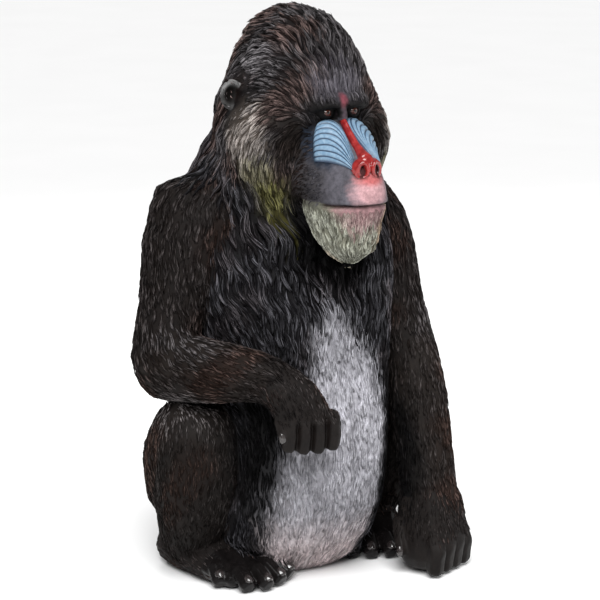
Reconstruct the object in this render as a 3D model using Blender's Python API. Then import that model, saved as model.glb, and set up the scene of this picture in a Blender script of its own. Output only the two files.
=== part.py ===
"""Sitting mandrill statue, life size, cast in resin and painted by hand.

Metres, +Z up. The animal faces -Y, and +X is its left. The origin lies on the flat underside of
the rump, straight below the tip of the crest. In the tables below, "forward" is distance along -Y.
"""

import math

import bmesh
import bpy
import numpy as np
from mathutils import Vector
from mathutils.bvhtree import BVHTree

# Driving dimensions, in metres
HEIGHT = 0.900
GAP = 0.00035
MOUTH_HEIGHT = 0.6205
MOUTH_GAP = 0.0012
EYE_SPACING = 0.047
EYE_RADIUS = 0.0098
EYE_FORWARD = 0.1560
EYE_HEIGHT = 0.7530
FINGER_RADIUS = 0.0116
FIST_FINGER_RADIUS = 0.0148
TOE_RADIUS = 0.0142
DOME = 0.6
RIDGE_CROWN = 0.0030
LOCK_WIDTH = 0.026
LOCK_HEIGHT = 0.0060
LOCK_SINK = 0.0022
LOCK_SEED = 7

# Paint colours of the casting: (red, green, blue), roughness
PAINTS = {
    "coat_dark": ((0.060, 0.052, 0.048), 0.62),
    "coat_brown": ((0.085, 0.066, 0.055), 0.60),
    "skin_black": ((0.030, 0.026, 0.026), 0.38),
    "muzzle_grey": ((0.210, 0.200, 0.205), 0.50),
    "beard_cream": ((0.520, 0.480, 0.370), 0.62),
    "nose_red": ((0.560, 0.050, 0.045), 0.22),
    "ridge_blue": ((0.290, 0.470, 0.640), 0.40),
    "eye_amber": ((0.120, 0.035, 0.015), 0.08),
}


# Each node's mesh as it was before its neighbours cut it
WHOLE = {}


def at(x, forward, up):
    """A point from the animal's own directions."""
    return Vector((x, -forward, up))


def smooth_rows(rows, count):
    """Rows of numbers read from a Catmull-Rom curve through the given rows."""
    keys = np.array(rows, float)
    ends = np.vstack([2 * keys[0] - keys[1], keys, 2 * keys[-1] - keys[-2]])
    places = np.linspace(0, len(keys) - 1, count)
    out = []
    for place in places:
        i = min(int(place), len(keys) - 2)
        t = place - i
        p0, p1, p2, p3 = ends[i : i + 4]
        out.append(
            0.5
            * (
                2 * p1
                + (p2 - p0) * t
                + (2 * p0 - 5 * p1 + 4 * p2 - p3) * t**2
                + (3 * p1 - p0 - 3 * p2 + p3) * t**3
            )
        )
    return out


def paint(name):
    """A Principled material for one paint."""
    if name in bpy.data.materials:
        return bpy.data.materials[name]
    colour, roughness = PAINTS[name]
    material = bpy.data.materials.new(name)
    material.use_nodes = True
    shader = material.node_tree.nodes["Principled BSDF"]
    shader.inputs["Base Color"].default_value = (*colour, 1.0)
    shader.inputs["Roughness"].default_value = roughness
    shader.inputs["Metallic"].default_value = 0.0
    return material


def new_object(name, mesh, paint_name=None):
    """Links a mesh to the scene as an object."""
    obj = bpy.data.objects.new(name, mesh)
    bpy.context.scene.collection.objects.link(obj)
    if paint_name:
        mesh.materials.append(paint(paint_name))
    return obj


def skin_rings(name, rings, paint_name=None):
    """A closed mesh over rings of points, with a pole in the middle of each end ring."""
    bm = bmesh.new()
    loops = [[bm.verts.new(point) for point in ring] for ring in rings]
    size = len(rings[0])
    for low, high in zip(loops, loops[1:]):
        for k in range(size):
            n = (k + 1) % size
            bm.faces.new((low[k], low[n], high[n], high[k]))
    for loop in (loops[0], loops[-1]):
        middle = sum((v.co for v in loop), Vector()) / size
        pole = bm.verts.new(middle)
        for k in range(size):
            bm.faces.new((loop[k], loop[(k + 1) % size], pole))
    bmesh.ops.recalc_face_normals(bm, faces=bm.faces)
    bmesh.ops.triangulate(bm, faces=bm.faces)
    mesh = bpy.data.meshes.new(name)
    bm.to_mesh(mesh)
    bm.free()
    mesh.shade_smooth()
    return new_object(name, mesh, paint_name)


def round_square(angle, power):
    """A point of a rounded square of half width 1: a circle at power 2, squarer above it."""
    c, s = math.cos(angle), math.sin(angle)
    return math.copysign(abs(c) ** (2 / power), c), math.copysign(abs(s) ** (2 / power), s)


def level_ring(up, half_width, widest, front, back, sides, power):
    """A level ring: half_width to each side, reaching front and back of its widest place."""
    ring = []
    for k in range(sides):
        side, along = round_square(2 * math.pi * k / sides, power)
        reach = front - widest if along > 0 else widest - back
        ring.append(at(half_width * side, widest + reach * along, up))
    return ring


def stack(name, rows, count, sides, power, paint_name=None):
    """A body of level rings, from rows of (up, half_width, widest, front, back)."""
    rings = [level_ring(*row, sides, power) for row in smooth_rows(rows, count)]
    return skin_rings(name, rings, paint_name)


def tube(name, rows, count, sides, paint_name=None, side=(1, 0, 0), power=2.0, domes=(60, 32)):
    """A limb from rows of (x, forward, up, half_side, half_depth), with domed ends."""
    rows = smooth_rows(rows, count)
    centres = [at(*row[:3]) for row in rows]
    rings = []
    for i, row in enumerate(rows):
        along = centres[min(i + 1, count - 1)] - centres[max(i - 1, 0)]
        along.normalize()
        across = Vector(side) - along * along.dot(Vector(side))
        across.normalize()
        deep = along.cross(across)
        turns = [round_square(2 * math.pi * k / sides, power) for k in range(sides)]

        def ring_at(centre, scale):
            return [
                centre + across * (row[3] * scale * c) + deep * (row[4] * scale * s)
                for c, s in turns
            ]

        dome = [(math.cos(math.radians(a)), math.sin(math.radians(a))) for a in domes]
        reach = min(row[3], row[4])
        if i == 0:
            for scale, lift in dome:
                rings.append(ring_at(centres[i] - along * reach * DOME * lift, scale))
        rings.append(ring_at(centres[i], 1))
        if i == count - 1:
            for scale, lift in reversed(dome):
                rings.append(ring_at(centres[i] + along * reach * DOME * lift, scale))
    return skin_rings(name, rings, paint_name)


def digit(rows, count, side=(1, 0, 0)):
    """One finger, thumb or toe, like a limb with few faces."""
    return tube("digit", rows, count, 6, side=side, domes=(42,))


def ball(name, centre, radii, sides=12, paint_name=None):
    """A closed ellipsoid."""
    bm = bmesh.new()
    bmesh.ops.create_uvsphere(bm, u_segments=sides, v_segments=max(6, sides // 2), radius=1)
    for v in bm.verts:
        v.co = Vector((v.co.x * radii[0], v.co.y * radii[1], v.co.z * radii[2])) + centre
    bmesh.ops.triangulate(bm, faces=bm.faces)
    mesh = bpy.data.meshes.new(name)
    bm.to_mesh(mesh)
    bm.free()
    mesh.shade_smooth()
    return new_object(name, mesh, paint_name)


def block(name, low, high):
    """A closed box between two corners."""
    bm = bmesh.new()
    bmesh.ops.create_cube(bm, size=1)
    for v in bm.verts:
        v.co = Vector((l + (h - l) * (c + 0.5) for l, h, c in zip(low, high, v.co)))
    mesh = bpy.data.meshes.new(name)
    bm.to_mesh(mesh)
    bm.free()
    return new_object(name, mesh)


def bake(obj):
    """Replaces the object's mesh by its evaluated one, keeping only the largest closed body."""
    bpy.context.view_layer.update()
    graph = bpy.context.evaluated_depsgraph_get()
    mesh = bpy.data.meshes.new_from_object(obj.evaluated_get(graph))
    obj.modifiers.clear()
    old = obj.data
    obj.data = mesh
    bpy.data.meshes.remove(old)
    bm = bmesh.new()
    bm.from_mesh(mesh)
    bmesh.ops.remove_doubles(bm, verts=bm.verts, dist=1e-6)
    bmesh.ops.triangulate(bm, faces=bm.faces)
    groups = []
    unseen = set(bm.verts)
    while unseen:
        todo = [unseen.pop()]
        group = set(todo)
        while todo:
            for edge in todo.pop().link_edges:
                for v in edge.verts:
                    if v in unseen:
                        unseen.discard(v)
                        group.add(v)
                        todo.append(v)
        groups.append(group)
    largest = max(groups, key=len)
    loose = [v for v in bm.verts if v not in largest]
    bmesh.ops.delete(bm, geom=loose, context="VERTS")
    bm.to_mesh(mesh)
    bm.free()
    mesh.name = obj.name
    return obj


def join(obj, others, solver="MANIFOLD"):
    """Fuses closed mesh objects into obj with one Boolean union on their collection."""
    pieces = bpy.data.collections.new(obj.name + "_pieces")
    bpy.context.scene.collection.children.link(pieces)
    for other in others:
        for owner in list(other.users_collection):
            owner.objects.unlink(other)
        pieces.objects.link(other)
    fuse = obj.modifiers.new("fuse", "BOOLEAN")
    fuse.operation = "UNION"
    fuse.operand_type = "COLLECTION"
    fuse.collection = pieces
    fuse.solver = solver
    bake(obj)
    for other in others:
        bpy.data.objects.remove(other)
    bpy.data.collections.remove(pieces)
    return obj


def subtract(obj, cutter, cutter_crosses_itself=False):
    """Cuts one closed mesh object out of obj."""
    cut = obj.modifiers.new("cut", "BOOLEAN")
    cut.operation = "DIFFERENCE"
    cut.object = cutter
    cut.use_self = cutter_crosses_itself
    bake(obj)
    bpy.data.objects.remove(cutter)
    return obj


def clear_of(obj, *neighbours):
    """Cuts obj back so that it meets each neighbour face to face, the gap apart."""
    WHOLE[obj.name] = obj.data.copy()
    for neighbour in neighbours:
        whole = WHOLE.get(neighbour.name, neighbour.data)
        mesh = whole.copy()
        bm = bmesh.new()
        bm.from_mesh(mesh)
        bm.normal_update()
        normals = [v.normal.copy() for v in bm.verts]
        for v, normal in zip(bm.verts, normals):
            v.co += normal * GAP
        bm.to_mesh(mesh)
        bm.free()
        subtract(obj, new_object("gap_cutter", mesh), cutter_crosses_itself=True)
        subtract(obj, new_object("cutter", whole.copy()))
    return obj


def floor_cut(obj):
    """Flattens what would pass below the floor."""
    return subtract(obj, block("floor_cutter", (-0.6, -0.6, -0.3), (0.6, 0.6, 0.0)))


# Torso: level rings of (up, half width, widest place, front, back)
TORSO = [
    (0.000, 0.122, -0.050, 0.052, -0.158),
    (0.030, 0.140, -0.050, 0.090, -0.184),
    (0.085, 0.150, -0.045, 0.134, -0.203),
    (0.150, 0.150, -0.035, 0.162, -0.210),
    (0.230, 0.148, -0.025, 0.172, -0.212),
    (0.320, 0.150, -0.025, 0.166, -0.212),
    (0.410, 0.160, -0.030, 0.150, -0.207),
    (0.490, 0.176, -0.035, 0.128, -0.196),
    (0.550, 0.182, -0.038, 0.098, -0.178),
    (0.595, 0.158, -0.040, 0.062, -0.158),
    (0.630, 0.112, -0.042, 0.020, -0.128),
    (0.648, 0.050, -0.044, -0.010, -0.085),
]

# Neck and mantle: level rings from inside the shoulders to inside the head
NECK = [
    (0.500, 0.110, -0.020, 0.085, -0.130),
    (0.560, 0.142, -0.020, 0.100, -0.160),
    (0.610, 0.152, -0.018, 0.100, -0.158),
    (0.650, 0.136, -0.015, 0.090, -0.150),
    (0.690, 0.112, -0.015, 0.080, -0.136),
    (0.720, 0.080, -0.010, 0.050, -0.110),
]

# Head with its crest: level rings from under the cheeks to the crest's tip
HEAD = [
    (0.604, 0.066, 0.040, 0.100, -0.030),
    (0.622, 0.098, 0.052, 0.116, -0.070),
    (0.655, 0.122, 0.066, 0.128, -0.100),
    (0.690, 0.130, 0.074, 0.134, -0.118),
    (0.725, 0.126, 0.070, 0.140, -0.120),
    (0.760, 0.112, 0.052, 0.148, -0.116),
    (0.790, 0.098, 0.034, 0.150, -0.104),
    (0.815, 0.086, 0.026, 0.142, -0.098),
    (0.840, 0.074, 0.026, 0.126, -0.084),
    (0.862, 0.063, 0.022, 0.108, -0.076),
    (0.882, 0.047, 0.012, 0.080, -0.056),
    (HEIGHT - 0.003, 0.018, 0.004, 0.030, -0.024),
]

# Muzzle: upright sections of (forward, top, bottom, half width at the lips, half width on top)
MUZZLE = [
    (0.095, 0.744, 0.600, 0.078, 0.058),
    (0.135, 0.744, 0.602, 0.071, 0.052),
    (0.165, 0.729, 0.604, 0.065, 0.045),
    (0.190, 0.711, 0.606, 0.061, 0.037),
    (0.212, 0.698, 0.607, 0.056, 0.029),
    (0.230, 0.688, 0.608, 0.048, 0.022),
    (0.241, 0.668, 0.611, 0.036, 0.016),
    (0.245, 0.648, 0.617, 0.020, 0.012),
]

# Lower jaw with the beard's core: level rings
JAW = [
    (0.5190, 0.008, 0.184, 0.196, 0.170),
    (0.5360, 0.021, 0.178, 0.209, 0.144),
    (0.5580, 0.033, 0.168, 0.221, 0.118),
    (0.5800, 0.043, 0.160, 0.229, 0.100),
    (0.6000, 0.052, 0.158, 0.234, 0.092),
    (0.6120, 0.056, 0.161, 0.236, 0.092),
    (0.6180, 0.056, 0.164, 0.235, 0.092),
]


# Lie of the hair on the head, neck and chest, as places on the left side and headings there
LIE = [
    ((0.000, 0.150, 0.785), (0.00, -0.40, 0.90)),
    ((0.000, 0.125, 0.835), (0.00, -0.60, 0.80)),
    ((0.000, 0.095, 0.875), (0.00, -0.85, 0.45)),
    ((0.000, 0.000, 0.900), (0.00, -1.00, 0.00)),
    ((0.000, -0.070, 0.865), (0.00, -0.50, -0.85)),
    ((0.000, -0.105, 0.790), (0.00, -0.15, -1.00)),
    ((0.085, 0.100, 0.800), (0.15, -0.80, 0.45)),
    ((0.095, 0.050, 0.805), (0.10, -0.90, 0.05)),
    ((0.085, -0.030, 0.820), (0.05, -0.60, -0.75)),
    ((0.110, -0.010, 0.765), (0.05, -0.50, -0.85)),
    ((0.110, 0.100, 0.720), (0.30, -0.70, -0.55)),
    ((0.120, 0.070, 0.670), (0.05, -0.30, -0.95)),
    ((0.110, 0.040, 0.640), (-0.30, 0.25, -0.90)),
    ((0.135, -0.020, 0.640), (-0.10, 0.25, -0.95)),
    ((0.080, -0.120, 0.650), (0.10, 0.00, -1.00)),
    ((0.130, 0.050, 0.540), (-0.45, 0.15, -0.85)),
    ((0.070, 0.110, 0.520), (-0.45, 0.05, -0.90)),
    ((0.000, 0.130, 0.480), (0.00, 0.05, -1.00)),
    ((0.000, -0.200, 0.450), (0.00, 0.00, -1.00)),
]

# Raised locks carved in the casting: rows of (height of the roots, how many, length)
CREST_TIERS = [
    (0.665, 7, 0.080),
    (0.715, 7, 0.080),
    (0.775, 7, 0.080),
    (0.812, 7, 0.076),
    (0.846, 7, 0.070),
    (0.870, 5, 0.060),
    (0.888, 3, 0.045),
]
MANTLE_TIERS = [(0.690, 8, 0.092), (0.652, 9, 0.092), (0.612, 9, 0.088)]
CHEST_ROOTS = [(0.110, 0.545), (0.070, 0.530), (0.028, 0.520), (0.120, 0.470), (0.065, 0.455)]
BEARD_TIERS = [(0.590, 6, 0.042), (0.566, 5, 0.040)]


def lie_at(point):
    """Heading of the hair at a point, weighed from the nearest known places."""
    heading = Vector()
    for place, direction in LIE:
        for side in (-1, 1):
            apart = (at(side * place[0], place[1], place[2]) - point).length + 0.005
            heading += at(side * direction[0], direction[1], direction[2]) / apart**4
    return heading.normalized()


def lock(tree, root, length, width, rng, lie=lie_at):
    """One raised, tapered lock that follows the lie of the hair over the surface."""
    shares = ((0.60, 0.25), (1.00, 1.00), (0.62, 0.85))
    place, normal, _, _ = tree.find_nearest(root)
    swing = rng.uniform(-0.3, 0.3)
    rings = []
    for wide, high in shares:
        heading = lie(place)
        heading = (heading - normal * heading.dot(normal)).normalized()
        heading = (heading + heading.cross(normal) * swing).normalized()
        across = heading.cross(normal) * width * wide / 2
        swing = -swing
        sunk = place - normal * LOCK_SINK
        rings.append([sunk + across, place + normal * LOCK_HEIGHT * high, sunk - across])
        place, normal, _, _ = tree.find_nearest(place + heading * length / len(shares))
    bm = bmesh.new()
    loops = [[bm.verts.new(point) for point in ring] for ring in rings]
    for low, high in zip(loops, loops[1:]):
        for k in range(3):
            n = (k + 1) % 3
            bm.faces.new((low[k], low[n], high[n], high[k]))
    bm.faces.new(loops[0])
    end = bm.verts.new(place - normal * LOCK_SINK)
    for k in range(3):
        bm.faces.new((loops[-1][k], loops[-1][(k + 1) % 3], end))
    bmesh.ops.recalc_face_normals(bm, faces=bm.faces)
    bmesh.ops.triangulate(bm, faces=bm.faces)
    mesh = bpy.data.meshes.new("lock")
    bm.to_mesh(mesh)
    bm.free()
    return new_object("lock", mesh)


def tier_locks(obj, rows, tiers, rng, grows):
    """Locks in level tiers on a body of level rings, where grows(forward, up) allows them."""
    tree = surface_of(obj)
    keys = [row[0] for row in rows]
    out = []
    for tier, (up, count, length) in enumerate(tiers):
        row = [up] + [float(np.interp(up, keys, [r[i] for r in rows])) for i in range(1, 5)]
        for k in range(count):
            turn = 2 * math.pi * (k + 0.5 * (tier % 2) + 0.25 + rng.uniform(-0.12, 0.12)) / count
            reach = row[3] - row[2] if math.sin(turn) > 0 else row[2] - row[4]
            forward = row[2] + reach * math.sin(turn)
            if not grows(forward, up):
                continue
            root = at(row[1] * math.cos(turn), forward, up + rng.uniform(-0.005, 0.005))
            out.append(lock(tree, root, length * rng.uniform(0.9, 1.1), LOCK_WIDTH, rng))
    return out


def make_torso():
    """Trunk with the belly, the flat underside of the rump and the locks of the chest."""
    torso = stack("torso", TORSO, 14, 22, 2.25, "coat_dark")
    rng = np.random.default_rng(LOCK_SEED)
    tree = surface_of(torso)
    locks = []
    for x, up in CHEST_ROOTS:
        for side in (-1, 1):
            root = at(side * x, 0.12, up)
            locks.append(lock(tree, root, 0.075, LOCK_WIDTH, rng))
    return join(torso, locks, "EXACT")


def make_neck(torso):
    """Neck under its mantle of long hair."""
    neck = stack("neck", NECK, 8, 20, 2.2, "coat_dark")
    rng = np.random.default_rng(LOCK_SEED + 1)
    join(neck, tier_locks(neck, NECK, MANTLE_TIERS, rng, lambda forward, up: True), "EXACT")
    return clear_of(neck, torso)


def make_head(neck, torso):
    """Skull with the crest, brow ridge and eye sockets."""
    head = stack("head", HEAD, 14, 22, 2.25, "coat_dark")
    brow_rows = [
        (-0.052, 0.134, 0.760, 0.010, 0.011),
        (-0.030, 0.151, 0.768, 0.011, 0.012),
        (0.000, 0.153, 0.769, 0.010, 0.012),
        (0.030, 0.151, 0.768, 0.011, 0.012),
        (0.052, 0.134, 0.760, 0.010, 0.011),
    ]
    brow = tube("brow", brow_rows, 9, 8, side=(0, 1, 0))
    rng = np.random.default_rng(LOCK_SEED + 2)
    hairline, crest_front = 0.095, 0.830
    crest = tier_locks(
        head, HEAD, CREST_TIERS, rng, lambda forward, up: forward < hairline or up > crest_front
    )
    join(head, [brow, *crest], "EXACT")
    for side in (-1, 1):
        place = at(side * EYE_SPACING / 2, EYE_FORWARD + 0.006, EYE_HEIGHT - 0.001)
        subtract(head, ball("socket", place, (0.0150, 0.0170, 0.0098), 12))
    return clear_of(head, neck, torso)


def make_eye(side, head):
    """One eyeball, set back in its socket."""
    word = "left" if side > 0 else "right"
    place = at(side * EYE_SPACING / 2, EYE_FORWARD - 0.009, EYE_HEIGHT)
    eye = ball(f"eye_{word}", place, (EYE_RADIUS,) * 3, 10, "eye_amber")
    return clear_of(eye, head)


def muzzle_section(forward, top, bottom, low_width, top_width, sides=18, power=2.5):
    """One upright section of the muzzle, narrower at its top."""
    ring = []
    middle, half_height = (top + bottom) / 2, (top - bottom) / 2
    for k in range(sides):
        side, rise = round_square(2 * math.pi * k / sides, power)
        share = ((rise + 1) / 2) ** 0.8
        width = low_width * (1 - share) + top_width * share
        ring.append(at(width * side, forward, middle + half_height * rise))
    return ring


def make_muzzle(head, neck):
    """Upper muzzle, flat underneath along the line of the mouth."""
    rings = [muzzle_section(*row) for row in smooth_rows(MUZZLE, 10)]
    muzzle = skin_rings("muzzle", rings, "muzzle_grey")
    mouth = block("mouth_cutter", (-0.2, -0.4, 0.5), (0.2, 0.2, MOUTH_HEIGHT + MOUTH_GAP / 2))
    subtract(muzzle, mouth)
    return clear_of(muzzle, head, neck)


def make_jaw(muzzle, head, neck, torso):
    """Lower jaw with the body of the beard."""
    jaw = stack("jaw", JAW, 9, 16, 2.3, "beard_cream")
    rng = np.random.default_rng(LOCK_SEED + 3)
    tree = surface_of(jaw)
    locks = []
    for up, count, length in BEARD_TIERS:
        for k in range(count):
            turn = math.pi * (k + 0.5) / count
            root = at(0.055 * math.cos(turn), 0.160 + 0.070 * math.sin(turn), up)
            locks.append(lock(tree, root, length, 0.018, rng, lambda _: Vector((0, 0, -1))))
    join(jaw, locks, "EXACT")
    mouth = block("mouth_cutter", (-0.2, -0.4, MOUTH_HEIGHT - MOUTH_GAP / 2), (0.2, 0.2, 0.8))
    subtract(jaw, mouth)
    return clear_of(jaw, head, neck, torso)


def surface_of(*objects):
    """A search tree over the objects' surfaces."""
    verts, faces = [], []
    for obj in objects:
        start = len(verts)
        verts += [v.co.copy() for v in obj.data.vertices]
        faces += [[start + i for i in p.vertices] for p in obj.data.polygons]
    return BVHTree.FromPolygons(verts, faces)


def make_cheek_ridges(side, muzzle, head):
    """One ribbed swelling beside the nose: long ribs that run from below the eye to the nostril."""
    word = "left" if side > 0 else "right"
    tree = surface_of(muzzle)
    ribs, across, along = 6, 19, 7
    outer_top = at(side * 0.043, 0.150, 0.7330)
    outer_low = at(side * 0.056, 0.172, 0.6840)
    bend_top = at(side * 0.006, 0.172, 0.7500)
    bend_low = at(side * 0.050, 0.196, 0.6820)
    tip_top = at(side * 0.0160, 0.2240, 0.6900)
    tip_low = at(side * 0.0330, 0.2260, 0.6740)
    upper, lower = [], []
    for j in range(along):
        v = j / (along - 1)
        for i in range(across):
            u = i / (across - 1)
            start = outer_top.lerp(outer_low, u)
            bend = bend_top.lerp(bend_low, u)
            tip = tip_top.lerp(tip_low, u)
            point = start * (1 - v) ** 2 + bend * 2 * v * (1 - v) + tip * v**2
            place, normal, _, _ = tree.find_nearest(point)
            rim = min(1, 6 * u, 6 * (1 - u), 5 * v + 0.25, 5 * (1 - v) + 0.25)
            rib = abs(math.sin(math.pi * ribs * u)) ** 0.7
            crown = RIDGE_CROWN * math.sin(math.pi * u) * math.sin(math.pi * min(1, 0.15 + v))
            upper.append(place + normal * (0.0012 + rim * (0.0026 + 0.0024 * rib) + crown))
            lower.append(place - normal * 0.0020)
    bm = bmesh.new()
    tops = [bm.verts.new(p) for p in upper]
    bottoms = [bm.verts.new(p) for p in lower]
    for j in range(along - 1):
        for i in range(across - 1):
            a, b = j * across + i, j * across + i + 1
            c, d = a + across, b + across
            bm.faces.new((tops[a], tops[b], tops[d]))
            bm.faces.new((tops[a], tops[d], tops[c]))
            bm.faces.new((bottoms[b], bottoms[a], bottoms[d]))
            bm.faces.new((bottoms[d], bottoms[a], bottoms[c]))
    edge = (
        [i for i in range(across)]
        + [j * across + across - 1 for j in range(1, along)]
        + [(along - 1) * across + i for i in range(across - 2, -1, -1)]
        + [j * across for j in range(along - 2, 0, -1)]
    )
    for a, b in zip(edge, edge[1:] + edge[:1]):
        bm.faces.new((tops[b], tops[a], bottoms[a]))
        bm.faces.new((tops[b], bottoms[a], bottoms[b]))
    bmesh.ops.recalc_face_normals(bm, faces=bm.faces)
    mesh = bpy.data.meshes.new("ridges")
    bm.to_mesh(mesh)
    bm.free()
    mesh.shade_smooth()
    ridges = new_object(f"cheek_ridges_{word}", mesh, "ridge_blue")
    return clear_of(ridges, muzzle, head)


def make_nose(muzzle, head, ridges):
    """Red stripe along the nasal bone, and the round nose with its two nostrils."""
    stripe_rows = [
        (0.000, 0.156, 0.7460, 0.0062, 0.0080),
        (0.000, 0.172, 0.7300, 0.0064, 0.0090),
        (0.000, 0.190, 0.7130, 0.0070, 0.0090),
        (0.000, 0.208, 0.6990, 0.0082, 0.0095),
        (0.000, 0.224, 0.6900, 0.0110, 0.0110),
    ]
    nose = tube("nose", stripe_rows, 6, 8, "nose_red")
    pad = ball("pad", at(0, 0.2280, 0.6790), (0.0170, 0.0130, 0.0175), 10)
    wings = [
        ball("wing", at(side * 0.0125, 0.2290, 0.6750), (0.0130, 0.0135, 0.0165), 10)
        for side in (-1, 1)
    ]
    join(nose, [pad, *wings])
    for side in (-1, 1):
        hole = ball("nostril", at(side * 0.0125, 0.2430, 0.6730), (0.0055, 0.0100, 0.0075), 8)
        subtract(nose, hole)
    return clear_of(nose, muzzle, head, *ridges)


def make_ear(side, head, neck):
    """One round ear with its cup open to the front."""
    word = "left" if side > 0 else "right"
    middle = at(side * 0.113, 0.016, 0.771)
    ear = ball(f"ear_{word}", middle, (0.020, 0.010, 0.024), 12, "skin_black")
    cup = ball("cup", middle + at(side * 0.002, 0.0100, 0.001), (0.0140, 0.0110, 0.0170), 10)
    subtract(ear, cup)
    return clear_of(ear, head, neck)


# Arms: rows of (x, forward, up, half thickness across, half thickness along the other way)
UPPER_ARM_RIGHT = [
    (-0.118, -0.024, 0.598, 0.056, 0.072),
    (-0.167, -0.025, 0.566, 0.065, 0.078),
    (-0.186, -0.026, 0.490, 0.054, 0.068),
    (-0.198, -0.030, 0.420, 0.049, 0.058),
    (-0.207, -0.036, 0.360, 0.051, 0.056),
    (-0.208, -0.040, 0.338, 0.046, 0.050),
]
FOREARM_RIGHT = [
    (-0.208, -0.040, 0.344, 0.050, 0.054),
    (-0.196, 0.015, 0.348, 0.050, 0.053),
    (-0.172, 0.075, 0.352, 0.046, 0.048),
    (-0.145, 0.130, 0.355, 0.040, 0.040),
    (-0.122, 0.168, 0.350, 0.036, 0.034),
]
UPPER_ARM_LEFT = [
    (0.120, -0.025, 0.575, 0.050, 0.068),
    (0.156, -0.022, 0.545, 0.058, 0.074),
    (0.176, -0.012, 0.490, 0.053, 0.066),
    (0.184, 0.010, 0.420, 0.047, 0.056),
    (0.190, 0.042, 0.355, 0.045, 0.050),
]
FOREARM_LEFT = [
    (0.191, 0.046, 0.350, 0.045, 0.050),
    (0.190, 0.075, 0.290, 0.046, 0.050),
    (0.187, 0.102, 0.220, 0.045, 0.047),
    (0.184, 0.122, 0.150, 0.044, 0.044),
    (0.183, 0.134, 0.100, 0.046, 0.044),
]


def make_upper_arm(name, rows, torso, neck):
    """Shoulder and upper arm."""
    arm = tube(name, rows, 8, 12, "coat_brown")
    return clear_of(arm, torso, neck)


def make_forearm(name, rows, side, *neighbours):
    """Forearm from the elbow to the wrist."""
    arm = tube(name, rows, 7, 12, "coat_brown", side=side)
    return clear_of(arm, *neighbours)


def make_hand_right(forearm, torso):
    """Right hand, hanging over the knee, cast in one with its four curled fingers."""
    palm_rows = [
        (-0.128, 0.160, 0.350, 0.034, 0.031),
        (-0.112, 0.184, 0.336, 0.037, 0.029),
        (-0.098, 0.197, 0.314, 0.041, 0.026),
        (-0.088, 0.196, 0.286, 0.042, 0.019),
        (-0.085, 0.190, 0.260, 0.038, 0.015),
    ]
    line = (0.95, -0.31, 0)
    hand = tube("hand_right", palm_rows, 6, 12, "skin_black", side=line, power=2.6)
    pieces = []
    middle = at(-0.085, 0.213, 0.292)
    size = FINGER_RADIUS
    for k in range(4):
        root = middle + Vector(line) * (k - 1.5) * 1.95 * size
        length = 0.046 - 0.004 * abs(k - 1.5)
        rows = [
            (root.x, -root.y - 0.008, root.z + 0.010, size, size),
            (root.x, -root.y + 0.003, root.z - 0.012, size, size),
            (root.x, -root.y - 0.004, root.z - length, size, size),
        ]
        pieces.append(digit(rows, 4, line))
    thumb_rows = [
        (-0.116, 0.182, 0.318, 0.013, 0.013),
        (-0.126, 0.192, 0.292, 0.012, 0.012),
        (-0.126, 0.203, 0.268, 0.010, 0.010),
    ]
    pieces.append(digit(thumb_rows, 3))
    join(hand, pieces)
    return clear_of(hand, forearm, torso)


def make_hand_left(forearm, torso):
    """Left hand, closed, with its knuckles on the floor."""
    line = Vector((0.900, 0.436, 0))
    front = Vector((0.436, -0.900, 0))
    rows = [
        (0.183, 0.133, 0.112, 0.047, 0.044),
        (0.183, 0.139, 0.082, 0.053, 0.046),
        (0.182, 0.146, 0.050, 0.056, 0.046),
        (0.181, 0.148, 0.024, 0.055, 0.043),
    ]
    hand = tube("hand_left", rows, 5, 14, "skin_black", side=tuple(line), power=3.2)
    pieces = []
    middle = at(0.179, 0.150, 0) + front * 0.030
    size = FIST_FINGER_RADIUS
    for k in range(4):
        root = middle + line * (k - 1.5) * 1.85 * size
        rows = [
            (root.x, -root.y - 0.006, 0.062, size, size),
            (root.x, -root.y + 0.002, 0.036, size, size),
            (root.x, -root.y - 0.002, 0.012, size, size),
        ]
        pieces.append(digit(rows, 3, tuple(line)))
    thumb_rows = [
        (0.132, 0.124, 0.080, 0.013, 0.013),
        (0.124, 0.140, 0.056, 0.012, 0.012),
        (0.121, 0.150, 0.034, 0.010, 0.010),
    ]
    pieces.append(digit(thumb_rows, 3))
    join(hand, pieces)
    floor_cut(hand)
    return clear_of(hand, forearm, torso)


# Legs, as the right one: rows like the arms'
THIGH = [
    (-0.080, -0.110, 0.100, 0.085, 0.088),
    (-0.130, -0.070, 0.135, 0.084, 0.088),
    (-0.167, -0.020, 0.190, 0.078, 0.082),
    (-0.188, 0.022, 0.246, 0.066, 0.066),
]
SHIN = [
    (-0.191, 0.034, 0.252, 0.064, 0.062),
    (-0.184, 0.028, 0.195, 0.066, 0.066),
    (-0.175, 0.002, 0.135, 0.063, 0.065),
    (-0.163, -0.028, 0.085, 0.055, 0.062),
    (-0.157, -0.044, 0.050, 0.049, 0.058),
]
SOLE = [
    (-0.157, -0.094, 0.030, 0.038, 0.034),
    (-0.156, -0.050, 0.040, 0.045, 0.044),
    (-0.146, 0.000, 0.034, 0.046, 0.037),
    (-0.132, 0.044, 0.024, 0.050, 0.026),
    (-0.120, 0.070, 0.019, 0.048, 0.020),
]
TOE_TIPS = [(-0.169, 0.073), (-0.142, 0.114), (-0.112, 0.122), (-0.082, 0.110), (-0.056, 0.092)]
TOE_ROOTS = [(-0.160, 0.034), (-0.142, 0.058), (-0.120, 0.064), (-0.100, 0.058), (-0.086, 0.044)]
LEFT_LEG_OUT = 0.034
LEFT_LEG_BACK = 0.045


def left_leg(rows):
    """Rows of the right leg turned into the left one, which is set further out and back."""
    return [(-row[0] + LEFT_LEG_OUT, row[1] - LEFT_LEG_BACK, *row[2:]) for row in rows]


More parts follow.
